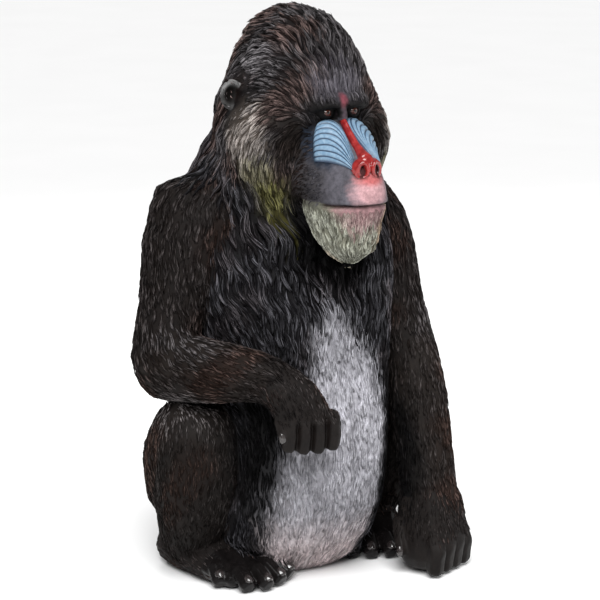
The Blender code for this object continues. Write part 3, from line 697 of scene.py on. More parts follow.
def fine_places(points):
    """How fine the skin is kept at each point, and how firmly it withstands the smoothing."""
    x, forward, up = mirrored(points).T
    face = smoothstep(0.105, 0.135, forward) * smoothstep(0.585, 0.60, up)
    fine = face * (smoothstep(0.090, 0.070, x) * smoothstep(0.800, 0.785, up))
    firm = np.zeros(len(points))
    for name in ("hand_left", "hand_right", "foot_left", "foot_right", "ear_left", "ear_right"):
        low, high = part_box(name)
        inside = np.all((points > np.array(low) - 0.004) & (points < np.array(high) + 0.004), axis=1)
        fine = np.maximum(fine, inside)
        firm = np.maximum(firm, inside * (0.84 if name.startswith("hand") else 0.93))
    return fine, firm


def thinned(skin, fine):
    """Thins out the skin's triangles, least of all where it is kept fine."""
    group = skin.vertex_groups.new(name="coarse")
    steps = np.round((1 - fine) * 4).astype(int)
    for level in range(5):
        group.add(np.nonzero(steps == level)[0].tolist(), max(level / 4, 0.02), "REPLACE")
    thin = skin.modifiers.new("thin", "DECIMATE")
    thin.ratio = SKIN_TRIANGLES / (2 * len(skin.data.polygons))
    thin.vertex_group = "coarse"
    applied(skin)
    keep_largest(skin.data)
    skin.vertex_groups.clear()


def make_skin(material):
    """One closed skin over all the flesh, with a search tree over the flesh and its owners."""
    corners, faces, owners = flesh()
    body = new_object("body", mesh_from("body", corners, faces))
    skin = fused("skin", [body, *face_folds()], SKIN_VOXEL)
    mesh = skin.data
    points = points_of(mesh)
    edges = edges_of(mesh)
    fine, firm = fine_places(points)
    to_eye = reach_of(mirrored(points), (EYE_SIDE, EYE_FORWARD + 0.008, EYE_HEIGHT))
    near_eye = smoothstep(0.030, 0.018, to_eye)
    all_over = 0.5 * (1 - 0.93 * near_eye)
    soft_places = 0.5 * (1 - firm) * (1 - near_eye)
    points = evened_out(points, edges, 4, all_over[:, None])
    points = lifted(evened_out(points, edges, 40, soft_places[:, None]))
    set_points(mesh, points)
    set_points(mesh, lifted(sculpt(points, normals_of(mesh))))
    thinned(skin, fine)
    return painted(skin, material), tree_of(corners, faces), owners


def keep_largest(mesh):
    """Triangulates the mesh and drops everything but its largest closed surface."""
    bm = bmesh.new()
    bm.from_mesh(mesh)
    bmesh.ops.triangulate(bm, faces=bm.faces)
    bm.verts.ensure_lookup_table()
    seen = [False] * len(bm.verts)
    groups = []
    for start in bm.verts:
        if seen[start.index]:
            continue
        seen[start.index] = True
        group, todo = [start], [start]
        while todo:
            corner = todo.pop()
            for edge in corner.link_edges:
                other = edge.other_vert(corner)
                if not seen[other.index]:
                    seen[other.index] = True
                    group.append(other)
                    todo.append(other)
        groups.append(group)
    largest = max(groups, key=len)
    loose = [v for group in groups if group is not largest for v in group]
    bmesh.ops.delete(bm, geom=loose, context="VERTS")
    mesh_of(bm, mesh)


def owner_of(points, tree, owners):
    """Number of the node of flesh that is nearest to each point; the whole beard is the jaw's."""
    owner = np.array([owners[tree.find_nearest(p)[2]] for p in points.tolist()])
    beard = (-points[:, 1] > 0.175) & (points[:, 2] > 0.50) & (points[:, 2] < 0.60)
    return np.where(beard, FLESH.index("jaw"), owner)


def lie_of(points, owner):
    """Heading of the hair at each point, before it is laid along the surface."""
    total = np.zeros((len(points), 3))
    for side in (-1, 1):
        mirror = np.array([side, -1, 1])
        for place, heading in LIE:
            apart = np.linalg.norm(points - place * mirror, axis=1) + 0.005
            total += heading * mirror / apart[:, None] ** 4
    total = unit(total)
    for number, name in enumerate(FLESH):
        heading = LIMB_LIE.get(name) or LIMB_LIE.get(side_name(name))
        if heading:
            chosen = owner == number
            own_side = np.sign(points[chosen, 0])
            total[chosen] = heading * np.array([1, -1, 1])
            total[chosen, 0] *= {"left": 1, "right": -1}.get(name.split("_")[-1], own_side)
    return unit(total)


def painted_over(paint, target, share):
    """Hollow colour, ridge colour and brushing, each moved to the target's by the share."""
    return [toward(value, wanted, share) for value, wanted in zip(paint, target)]


def paint_of(points, owner):
    """Hollow colour, ridge colour and brushing of the coat at each point, with its painted shade and
    highlights.
    """
    dark, light, brush = by_owner(PAINT, owner)
    warm = smoothstep(0.0, 0.6, crossing(points, (23, 31, 17), (-19, 27, 29)))
    warm = warm * np.where(owned(owner, "torso", "neck"), 0.3, 1.0)
    tint = 1 + warm[:, None] * np.array(WARM_TINT)
    paint = [dark * tint, light * tint, brush]
    rows = mirrored(points)
    wobble = 0.16 * crossing(points, (95, 70, 130), (40, 160, 60))
    for place, radii, *target in MARKS:
        share = smoothstep(1.15, 0.45, reach_of(rows, place, radii) + wobble)
        paint = painted_over(paint, target, share * ~owned(owner, "muzzle", "jaw"))
    place, radii, *target = BEARD_TOP
    share = smoothstep(1.15, 0.45, reach_of(rows, place, radii) + wobble)
    paint = painted_over(paint, target, share * owned(owner, "jaw"))
    grey = owned(owner, "muzzle") * smoothstep(0.138, 0.165, rows[:, 1])
    paint = painted_over(paint, (*MUZZLE_COAT, paint[2]), grey)
    low_down = smoothstep(0.14, 0.03, rows[:, 2])
    fade = 1 - 0.20 * smoothstep(0.26, 0.16, rows[:, 2]) - 0.32 * smoothstep(0.29, 0.42, rows[:, 2])
    shades = [fade[:, None] * np.array(pale) + low_down[:, None] * np.array(extra) for pale, extra in BELLY]
    return painted_over(paint, (*shades, 1.0), belly_share(points) * owned(owner, "torso"))


def belly_share(points):
    """1 on the pale patch of the belly and 0 off it."""
    x, forward, up = points[:, 0], -points[:, 1], points[:, 2]
    middle = 0.010 * np.sin(up * 14) + 0.010 * smoothstep(0.34, 0.44, up)
    half = np.interp(up, *zip(*BELLY_EDGE))
    rough = 0.010 * np.sin(up * 210 + x * 60) * np.sin(up * 77)
    soft = 0.013 + 0.014 * smoothstep(0.36, 0.44, up)
    return smoothstep(1.0, -1.0, (np.abs(x + middle) - half + rough) / soft) * (forward > 0.02)


def face_paint(points, owner, colour):
    """Adds the paint of the bare skin to the colour, with its painted shade and highlight, and tells how
    glossy it is.
    """
    rows = mirrored(points)
    x, forward, up = rows.T
    bare = bare_face(points, owner)
    colour = toward(colour, MUZZLE_GREY, owned(owner, "muzzle") * bare)
    colour[owned(owner, "hand_left", "hand_right", "foot_left", "foot_right")] = HAND_BROWN
    toes = smoothstep(0.05, 0.8, bare) * owned(owner, "foot_left", "foot_right")
    colour = toward(colour, TOE_BLACK, toes)
    # Painted highlight: each ear's rim is painted lighter than its darker cup, and brightest at its top
    lit = smoothstep(0.012, 0.020, reach_of(rows, EAR_PLACE))
    lit = lit * (0.25 + 0.75 * smoothstep(0.768, 0.786, up))
    rim = EAR_RIM_HIGHLIGHT * lit[:, None] + np.array(HAND_BROWN) * 0.5
    colour = np.where(owned(owner, "ear_left", "ear_right")[:, None], rim, colour)
    wobble = 0.12 * crossing(points, (310, 240, 420), (150, 510, 230))
    for place, radii, tint, hardness in FACE_MARKS:
        apart = reach_of(rows, place, radii) + wobble
        colour = toward(colour, tint, smoothstep(1.0 + 0.5 / hardness, 1.0 - 0.5 / hardness, apart))
    mouth = bell(up - mouth_line(x), 0.0021) * smoothstep(0.170, 0.190, forward)
    mouth *= smoothstep(MOUTH_HALF_WIDTH + 0.006, MOUTH_HALF_WIDTH, x)
    socket = np.hypot((x - EYE_SIDE) / 0.021, (up - EYE_HEIGHT) / 0.015)
    gloss = np.maximum(0.45 * bare, toes) * smoothstep(0.8, 1.3, socket)
    return toward(colour, MOUTH_DARK, mouth), gloss


def colour_layer(mesh, name, colours):
    """Writes one colour for each point of the mesh."""
    layer = mesh.color_attributes.new(name, "FLOAT_COLOR", "POINT")
    rows = np.ones((len(mesh.vertices), 4))
    rows[:, :3] = colours
    layer.data.foreach_set("color", rows.ravel())


def number_layer(mesh, name, values):
    """Writes one number for each point of the mesh."""
    layer = mesh.attributes.new(name, "FLOAT", "POINT")
    layer.data.foreach_set("value", np.asarray(values, float))


def unwrap(skin):
    """An unwrap of the skin's own shape, on a light copy of it: a search tree and its UVs."""
    light = bpy.data.objects.new("unwrap", skin.data.copy())
    bpy.context.scene.collection.objects.link(light)
    thin = light.modifiers.new("thin", "DECIMATE")
    thin.ratio = 0.06
    applied(light)
    bpy.ops.object.select_all(action="DESELECT")
    bpy.context.view_layer.objects.active = light
    light.select_set(True)
    bpy.ops.object.mode_set(mode="EDIT")
    bpy.ops.mesh.select_all(action="SELECT")
    bpy.ops.mesh.quads_convert_to_tris()
    bpy.ops.uv.smart_project(angle_limit=math.radians(66), island_margin=0.004)
    bpy.ops.object.mode_set(mode="OBJECT")
    points = points_of(light.data)
    corners = rows_of(light.data.loops, "vertex_index", 1, np.int64).reshape(-1, 3)
    uv = rows_of(light.data.uv_layers.active.data, "uv", 2).reshape(-1, 3, 2)
    bpy.data.objects.remove(light)
    return tree_of(points, corners.tolist()), points[corners], uv


def places_on(unwrapped, points):
    """Place of each point on the unwrap."""
    tree, corners, uv = unwrapped
    faces = np.array([tree.find_nearest(p)[2] for p in points.tolist()])
    a, b, c = corners[faces, 0], corners[faces, 1], corners[faces, 2]
    across, along, out = b - a, c - a, points - a
    d00, d01, d11 = (across**2).sum(1), (across * along).sum(1), (along**2).sum(1)
    d20, d21 = (out * across).sum(1), (out * along).sum(1)
    size = np.maximum(d00 * d11 - d01**2, 1e-18)
    v = np.clip((d11 * d20 - d01 * d21) / size, 0, 1)
    w = np.clip((d00 * d21 - d01 * d20) / size, 0, 1)
    u = 1 - v - w
    return uv[faces, 0] * u[:, None] + uv[faces, 1] * v[:, None] + uv[faces, 2] * w[:, None]


def sides_of(paths, normals):
    """The direction across each path at each of its points."""
    return unit(np.cross(np.gradient(paths, axis=1), normals))


class Surface:
    """The skin as arrays: triangles, normals, owners, lie of the hair and a search tree."""

    def __init__(self, skin, flesh_tree, owners):
        mesh = skin.data
        self.points = points_of(mesh)
        self.triangles = triangles_of(mesh)
        self.corners = self.points[self.triangles]
        a, b, c = self.corners.transpose(1, 0, 2)
        self.areas = np.linalg.norm(np.cross(b - a, c - a), axis=1) / 2
        self.normals = normals_of(mesh)
        self.owner = owner_of(self.points, flesh_tree, owners)
        edges = edges_of(mesh)
        lie = lie_of(self.points, self.owner)
        for step in range(24):
            lie = unit(lie + neighbour_mean(lie, edges))
            if step >= 13:
                lie -= self.normals * (lie * self.normals).sum(axis=1, keepdims=True)
        self.tree = tree_of(self.points, self.triangles.tolist())
        self.face_lie = unit(unit(lie)[self.triangles].mean(axis=1))
        self.face_normal = unit(self.normals[self.triangles].mean(axis=1))

    def sample(self, weights, count, rng):
        """Faces and points spread over the surface by the weight of each point of the skin."""
        total = np.cumsum(weights[self.triangles].mean(axis=1) * self.areas)
        draws = (np.arange(count) + rng.random(count)) / count * total[-1]
        faces = np.minimum(np.searchsorted(total, draws), len(total) - 1)
        u, v = rng.random(count), rng.random(count)
        flip = u + v > 1
        u[flip], v[flip] = 1 - u[flip], 1 - v[flip]
        a, b, c = self.corners[faces].transpose(1, 0, 2)
        return faces, a + (b - a) * u[:, None] + (c - a) * v[:, None]

    def depth(self, points):
        """How far each point lies under the surface."""
        found = [self.tree.find_nearest(p) for p in points.tolist()]
        near = np.array([row[0] for row in found])
        normals = self.face_normal[[row[2] for row in found]]
        return ((near - points) * normals).sum(axis=1)

    def walk(self, points, faces, lengths, steps, swing, waves, phases):
        """Wavy paths over the surface along the lie of the hair, with the normals there. Where
        the lie turns back on itself, as at the tip of the beard, a path runs on off the skin."""
        places = np.zeros((len(points), steps, 3))
        normals = np.zeros((len(points), steps, 3))
        for i, (point, face) in enumerate(zip(points.tolist(), faces.tolist())):
            here = Vector(point)
            step = float(lengths[i]) / (steps - 1)
            last, free = Vector(), False
            for k in range(steps):
                normal = Vector(self.face_normal[face])
                places[i, k] = here
                normals[i, k] = normal
                heading = Vector(self.face_lie[face])
                turn = swing[i] + waves[i] * math.sin(6.3 * (phases[i] + k / (steps - 1)))
                heading = heading + heading.cross(normal) * float(turn)
                found = self.tree.find_nearest(here + heading * step)
                free = free or (found[0] - here).dot(last) < 0
                if free:
                    last = last * 0.5
                    here = here + last
                else:
                    last = found[0] - here
                    here, face = found[0], found[2]
        return places, normals


def strand_arrays(paths, normals, widths, lifts, tips, sinks):
    """Points and triangles of closed, ridged strands along paths."""
    count, rings, _ = paths.shape
    t = np.linspace(0, 1, rings)[None, :, None]
    half = widths[:, None, None] * np.interp(t, *STRAND_TAPER) / 2
    rise = lifts[:, None, None] * np.interp(t, *STRAND_ARCH) + tips[:, None, None] * t**2
    base = paths + normals * (rise * 0.45 - sinks[:, None, None])
    top = paths + normals * rise
    side = sides_of(paths, normals) * half
    body = np.stack([base + side, top, base - side], axis=2)[:, :-1]
    points = np.concatenate([body.reshape(count, -1, 3), top[:, -1:]], axis=1)
    return points, closed_tubes(count, rings - 1, 3, True)


def closed_tubes(count, rings, sides, pointed):
    """Triangles of many closed tubes, each with rings of points and an end point if pointed."""
    size = rings * sides + int(pointed)
    faces = [(0, k + 1, k) for k in range(1, sides - 1)]
    for ring in range(rings - 1):
        for k in range(sides):
            a, b = ring * sides + k, ring * sides + (k + 1) % sides
            faces.append((a, b, b + sides))
            faces.append((a, b + sides, a + sides))
    last = (rings - 1) * sides
    if pointed:
        faces += [(last + k, last + (k + 1) % sides, size - 1) for k in range(sides)]
    else:
        faces += [(last, last + k, last + k + 1) for k in range(1, sides - 1)]
    faces = np.array(faces)
    return (faces[None] + (np.arange(count) * size)[:, None, None]).reshape(-1, 3)


def fast_mesh(name, points, triangles):
    """A mesh of triangles from arrays."""
    mesh = bpy.data.meshes.new(name)
    mesh.vertices.add(len(points))
    mesh.vertices.foreach_set("co", points.ravel())
    mesh.loops.add(triangles.size)
    mesh.loops.foreach_set("vertex_index", triangles.ravel())
    mesh.polygons.add(len(triangles))
    mesh.polygons.foreach_set("loop_start", np.arange(len(triangles)) * 3)
    mesh.polygons.foreach_set("loop_total", np.full(len(triangles), 3))
    mesh.update(calc_edges=True)
    return mesh


def uv_layer(mesh, name, places, triangles):
    """Writes one UV place for each point of the mesh."""
    layer = mesh.uv_layers.new(name=name)
    layer.data.foreach_set("uv", places[triangles.ravel()].ravel())


def beard_tip(points, owner):
    """1 at the tip of the beard and 0 off it."""
    return owned(owner, "jaw") * smoothstep(0.572, 0.530, points[:, 2])


def behind_beard(points, owner):
    """1 on the throat, right behind the beard, and 0 elsewhere."""
    x, forward, up = mirrored(points).T
    throat = smoothstep(0.115, 0.135, forward) * smoothstep(0.505, 0.520, up) * (up < 0.60)
    return throat * smoothstep(0.045, 0.030, x) * ~owned(owner, "jaw")


def lock_sizes(points, owner):
    """Width, height, length and waviness of the locks at each point."""
    x, forward, up = mirrored(points).T
    head = owned(owner, "head")
    low_trunk = owned(owner, "torso") * smoothstep(0.46, 0.36, up)
    temple = head * smoothstep(0.040, 0.085, forward) * smoothstep(0.815, 0.790, up)
    temple *= smoothstep(0.625, 0.665, up)
    brow = head * smoothstep(0.110, 0.145, forward) * smoothstep(0.815, 0.790, up) * (1 - temple)
    under_lip = owned(owner, "jaw") * smoothstep(0.580, 0.606, up)
    tip = beard_tip(points, owner)
    outer_neck = owned(owner, "neck") * smoothstep(0.100, 0.150, x)
    finer = 1 - 0.38 * low_trunk - 0.50 * temple
    flatter = 1 - 0.62 * low_trunk - 0.70 * temple
    places = ((brow, 0.50, 0.80), (under_lip, 0.45, 0.80), (tip, 0.40, 0.50), (outer_neck, 0.35, 0.70))
    for share, less_wide, less_high in places:
        finer = finer * (1 - less_wide * share)
        flatter = flatter * (1 - less_high * share)
    shorter = finer**0.7 * (1 - 0.55 * tip) * (1 - 0.7 * behind_beard(points, owner))
    return np.stack(by_owner(LOCKS, owner), axis=1) * np.stack([finer, flatter, shorter, finer], axis=1)


class Locks:
    """Combed locks over the skin: a middle line with its frame, and the sizes along it."""

    def __init__(self, surface, weights, count, rng):
        faces, roots = surface.sample(weights, count, rng)
        self.count = count
        self.roots = roots
        self.owner = surface.owner[surface.triangles[faces, 0]]
        width, height, length, waviness = lock_sizes(roots, self.owner).T
        self.width = width * rng.uniform(0.75, 1.30, count)
        self.height = height * rng.uniform(0.55, 1.35, count)
        self.length = length * rng.uniform(0.80, 1.20, count)
        self.clear_ears()
        self.tone = rng.random(count)
        swing = rng.uniform(-0.13, 0.13, count)
        phases = rng.uniform(0, 0.22, count) - roots[:, 2] / length
        lines = surface.walk(roots, faces, self.length, LOCK_STEPS, swing, waviness, phases)
        self.paths, self.normals = lines
        self.sides = sides_of(self.paths, self.normals)
        self.tree = KDTree(count * LOCK_STEPS)
        for i, point in enumerate(self.paths.reshape(-1, 3).tolist()):
            self.tree.insert(point, i)
        self.tree.balance()

    def clear_ears(self):
        """Shortens the locks that head for an ear, so that they end before it."""
        rows = mirrored(self.roots)
        to_ear = reach_of(rows, EAR_PLACE)
        ahead = (rows[:, 1] > EAR_PLACE[1] - 0.01) & (to_ear < 0.10)
        room = np.maximum(to_ear - EAR_CLEAR, 0.010)
        short = np.where(ahead, np.minimum(room / self.length, 1), 1)
        self.length = self.length * short
        self.height = self.height * short**2
        self.width = self.width * (0.4 + 0.6 * short)

    def read(self, rows, chosen, share):
        """A row of vectors along each chosen lock, read at shares of its length."""
        place = np.clip(share, 0, 1) * (LOCK_STEPS - 1)
        low = np.minimum(place.astype(int), LOCK_STEPS - 2)
        part = (place - low)[..., None]
        return rows[chosen, low] * (1 - part) + rows[chosen, low + 1] * part

    def over(self, chosen, share, across):
        """Points on the locks' backs and the normals there; across runs from -1 to 1."""
        rows = (self.paths, self.normals, self.sides)
        middle, normal, side = (self.read(row, chosen, share) for row in rows)
        half = self.width[chosen] / 2 * np.interp(share, *LOCK_TAPER)
        high = self.height[chosen] * np.interp(share, *LOCK_ARCH)
        arch = np.sqrt(np.clip(1 - across**2, 0, 1))
        tilt = across * np.clip(1.5 - np.abs(across), 0, 0.5) * 2
        points = middle + side * (half * across)[..., None] + normal * (high * arch)[..., None]
        lean = side * (tilt / half)[..., None] + normal * ((arch + 0.3) / (high + 0.002))[..., None]
        return points, unit(lean)

    def nearest(self, roots):
        """The lock under each root, the share of its length there, how far off its middle, and
        whether the root is off all locks."""
        rows = [self.tree.find(p)[1:] for p in roots.tolist()]
        found = np.array([row[0] for row in rows])
        chosen, step = found // LOCK_STEPS, found % LOCK_STEPS
        away = ((roots - self.paths[chosen, step]) * self.sides[chosen, step]).sum(axis=1)
        half = self.width[chosen] / 2
        share = step / (LOCK_STEPS - 1)
        cover = 1.1 * half * np.interp(share, *LOCK_TAPER)
        loose = np.array([row[1] for row in rows]) > np.maximum(cover, 0.006)
        return chosen, share, away / half, loose


def stretched(paths, lengths):
    """Whether each path runs out over a fair share of its length, instead of piling up."""
    return np.linalg.norm(np.diff(paths, axis=1), axis=2).sum(axis=1) > 0.35 * lengths


def under_beard(points, roots):
    """Whether each body of the beard hangs below its tip."""
    rooted = (roots[:, 1] < -0.13) & (roots[:, 2] > BEARD_LOW)
    return rooted & (points[:, :, 2].min(axis=1) < BEARD_LOW)


def coat_pieces(word, kept, points, triangles, roots, owner, colours, bake, lines, material):
    """Cuts the kept bodies into meshes of limited size, with their paint and UV places."""
    each = len(triangles) // len(points)
    order = np.nonzero(kept & ~under_beard(points, roots))[0]
    order = order[np.lexsort((roots[order, 2], owner[order]))]
    pieces = math.ceil(len(order) * each / PIECE_TRIANGLES)
    for number, chosen in enumerate(np.array_split(order, pieces)):
        faces = triangles[: each * len(chosen)]
        mesh = fast_mesh(f"coat_{word}_{number + 1}", points[chosen].reshape(-1, 3), faces)
        colour_layer(mesh, "Paint", colours[chosen].reshape(-1, 3))
        uv_layer(mesh, "OFBake", bake[chosen].reshape(-1, 2), faces)
        uv_layer(mesh, "Hair", lines[chosen].reshape(-1, 2), faces)
        piece = new_object(mesh.name, mesh, material)
        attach(piece, "root")


def tuft_places(unwrapped, roots, across, down):
    """Each body's own small patch on the unwrap, at its root's place."""
    patch = np.stack([across - 0.5, down - 0.5], axis=1) * TUFT_PATCH
    return places_on(unwrapped, roots)[:, None] + patch[None]


def hair_lines(count, across, down, turns, rng):
    """Places along and across each body for the fine hairs cut in it."""
    lines = np.stack([np.tile(across, (count, 1)), np.tile(down, (count, 1))], axis=2)
    return lines * np.array(turns) + rng.uniform(0, 40, (count, 1, 2))


def brushed(dark, light, shade):
    """Colour of every point of every body, from hollow to ridge by its shade."""
    return dark[:, None] * (1 - shade[..., None]) + light[:, None] * shade[..., None]


def lock_bodies(locks, unwrapped, material, rng):
    """The raised bodies of the locks, which the strands lie on."""
    count, rings = locks.count, 7
    share = np.linspace(0.0, 1.0, rings)
    across = np.array([1.0, 0.6, 0.0, -0.6, -1.0])
    chosen = np.arange(count)[:, None]
    spread = np.tile(share, (count, 1))
    columns = []
    for q in across:
        points, _ = locks.over(chosen, spread, np.full_like(spread, q))
        sink = 0.0022 if abs(q) == 1 else 0.0
        columns.append(points - locks.read(locks.normals, chosen, spread) * sink)
    points = lifted(np.stack(columns, axis=2).reshape(count, -1, 3), COAT_LOW)
    dark, light, brush = paint_of(locks.roots, locks.owner)
    top = np.interp(share, [0, 0.3, 0.9, 1], [0.0, 0.7, 1.0, 0.9])
    edge = np.array([0.0, 0.35, 1.0, 0.35, 0.0])
    amount = 0.10 * brush * (0.4 + 0.9 * locks.tone**1.5)
    shade = amount[:, None, None] * top[None, :, None] * edge[None, None, :]
    colours = brushed(dark, light, shade.reshape(count, -1))
    wide = np.tile((across + 1) / 2, rings)
    down = np.repeat(share, len(across))
    bake = tuft_places(unwrapped, locks.roots, wide, down)
    lines = hair_lines(count, wide, down, (2.2, 3.5), rng)
    triangles = closed_tubes(count, rings, len(across), False)
    kept = stretched(locks.paths, locks.length)
    coat_pieces("lock", kept, points, triangles, locks.roots, locks.owner, colours, bake, lines, material)


def coat_cover(surface, long_hair):
    """How much of the long or the short coat grows at each point of the skin."""
    chest = owned(surface.owner, "torso") * smoothstep(0.36, 0.44, surface.points[:, 2])
    share = np.maximum(owned(surface.owner, "neck", "head", "jaw"), chest)
    share = share if long_hair else 1 - share
    return share * (1 - bare_face(surface.points, surface.owner))


def strand_sizes(roots, owner, finer, room, rng):
    """Length, width and lift of each strand, smaller where its lock has less room."""
    count = len(roots)
    _, length, width, lift = by_owner(STRANDS, owner)
    length = length * rng.uniform(0.75, 1.2, count) * finer * (1 - 0.55 * beard_tip(roots, owner))
    length = length * (1 - 0.7 * behind_beard(roots, owner))
    stub = np.minimum(1, room / (1.3 * length))
    width = width * rng.uniform(0.65, 1.3, count) * finer * stub
    lift = lift * rng.uniform(0.6, 1.5, count) * finer * stub
    return length, width, lift


def along_locks(locks, chosen, start, reach, away, rings, rng):
    """Paths of strands along their locks' backs, each drifting a little to one side."""
    count = len(chosen)
    start = np.minimum(start + rng.uniform(-0.06, 0.06, count), 1.02 - reach)
    t = np.linspace(0, 1, rings)[None]
    spread = np.clip(start[:, None] + reach[:, None] * t, 0, 1)
    across = away[:, None] + rng.uniform(-0.35, 0.35, count)[:, None] * t
    return locks.over(chosen[:, None], spread, across)


def tip_lifts(roots, long_hair, rng):
    """How far the tip of each strand stands off, most of all on the crest."""
    crest = smoothstep(0.800, 0.860, roots[:, 2])
    return rng.uniform(0, 1, len(roots)) ** 2.5 * (0.0010 + 0.0022 * crest) * (1.3 if long_hair else 0.8)


def strand_shades(brush, raised, tone, rings, long_hair, rng):
    """How far each point of each strand is brushed from the hollow to the ridge colour."""
    count = len(brush)
    skew = 3.4 - 2.6 * brush if long_hair else 2.3 - 1.5 * brush
    bright = brush * raised * (0.40 + 1.50 * tone**1.5) * rng.random(count) ** skew * 1.9
    bright = np.clip(bright, 0, 1)[:, None]
    t = np.linspace(0, 1, rings)[:-1]
    tops = np.interp(t, [0, 0.3, 0.8, 1], [0.10, 0.80, 1.0, 0.9])[None] * bright
    sides = (0.04 + 0.30 * brush[:, None] ** 3) * tops
    rows = np.stack([sides, tops, sides], axis=2).reshape(count, -1)
    return np.concatenate([rows, 0.9 * bright], axis=1)


def make_coat(surface, unwrapped, material, long_hair, count, lock_count, rings, rng):
    """Locks and strands over the skin, long or short, in pieces of limited size."""
    cover = coat_cover(surface, long_hair)
    sizes = lock_sizes(surface.points, surface.owner)
    locks = Locks(surface, cover / (sizes[:, 0] * sizes[:, 2]), lock_count, rng)
    if long_hair:
        lock_bodies(locks, unwrapped, material, rng)
    finer = sizes[:, 0] / by_owner(LOCKS, surface.owner)[0]
    faces, roots = surface.sample(by_owner(STRANDS, surface.owner)[0] * cover / finer, count, rng)
    corner = surface.triangles[faces, 0]
    owner = surface.owner[corner]
    chosen, start, away, loose = locks.nearest(roots)
    away = np.clip(away + rng.uniform(-0.15, 0.15, count), -1.3, 1.3)
    room = locks.length[chosen]
    length, width, lift = strand_sizes(roots, owner, finer[corner] ** 0.7, room, rng)
    reach = np.minimum(length / room, 0.9)
    paths, normals = along_locks(locks, chosen, start, reach, away, rings, rng)
    loose |= surface.depth(paths[:, rings // 2]) > DEEPEST
    swing = rng.uniform(-0.25, 0.25, loose.sum())
    still = np.zeros(len(swing))
    own = surface.walk(roots[loose], faces[loose], length[loose], rings, swing, still, still)
    paths[loose], normals[loose] = own
    tips = tip_lifts(roots, long_hair, rng)
    points, triangles = strand_arrays(paths, normals, width, lift, tips, 0.0006 + 0.2 * width)
    dark, light, brush = paint_of(roots, owner)
    raised = np.where(loose, 0.4, 0.15 + 0.85 * np.clip(1 - away**2, 0, 1))
    shade = strand_shades(brush, raised, locks.tone[chosen], rings, long_hair, rng)
    wide = np.concatenate([np.tile([0.0, 0.5, 1.0], rings - 1), [0.5]])
    down = np.concatenate([np.repeat(np.linspace(0, 1, rings)[:-1], 3), [1.0]])
    bake = tuft_places(unwrapped, roots, wide, down)
    lines = hair_lines(count, wide, down, (1.0, 2.0), rng)
    kept = stretched(paths, np.where(loose, length, reach * room))
    points = lifted(points, COAT_LOW)
    colours = brushed(dark, light, shade)
    word = "long" if long_hair else "short"
    coat_pieces(word, kept, points, triangles, roots, owner, colours, bake, lines, material)


def bare_face(points, owner):
    """1 where the face, palms and digits carry no strands."""
    rows = mirrored(points)
    x, forward, up = rows.T
    edge = np.interp(up, *zip(*MUZZLE_EDGE))
    eyes = np.hypot((x - EYE_SIDE) / 0.023, (up - EYE_HEIGHT + 0.002) / 0.0125)
    bare = [
        owned(owner, "muzzle") * smoothstep(edge - 0.018, edge + 0.006, forward),
        (eyes < 1) & (forward > 0.120),
        (x < 0.010) & (up > 0.735) & (up < 0.780) & (forward > 0.14),
        owned(owner, "jaw") * smoothstep(0.6110, 0.6160, up),
        owned(owner, "head") & (reach_of(rows, EAR_PLACE, (0.7, 1, 1)) < EAR_CLEAR),
        owned(owner, "hand_right") * smoothstep(0.304, 0.288, up),
        owned(owner, "hand_left") * smoothstep(0.072, 0.052, up),
        up < 0.004,
    ]
    for name in ("foot_left", "foot_right"):
        low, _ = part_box(name)
        reach = -low.y - 0.082
        bare.append(owned(owner, name) * smoothstep(reach - 0.02, reach, forward))
    return np.max(bare, axis=0)


def node_tree(name):
    """A search tree over one of the casting's own nodes."""
    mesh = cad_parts[name].data
    return tree_of(points_of(mesh), triangles_of(mesh).tolist())


def evened(grid, rounds):
    """A grid of points evened out inside its edges, and a little along them."""
    for step in range(rounds):
        inner = grid[:-2, 1:-1] + grid[2:, 1:-1] + grid[1:-1, :-2] + grid[1:-1, 2:]
        grid[1:-1, 1:-1] = 0.5 * grid[1:-1, 1:-1] + 0.125 * inner
        if step < 6:
            for k in (0, -1):
                grid[k, 1:-1] = 0.5 * grid[k, 1:-1] + 0.25 * (grid[k, :-2] + grid[k, 2:])
                grid[1:-1, k] = 0.5 * grid[1:-1, k] + 0.25 * (grid[:-2, k] + grid[2:, k])
    return grid


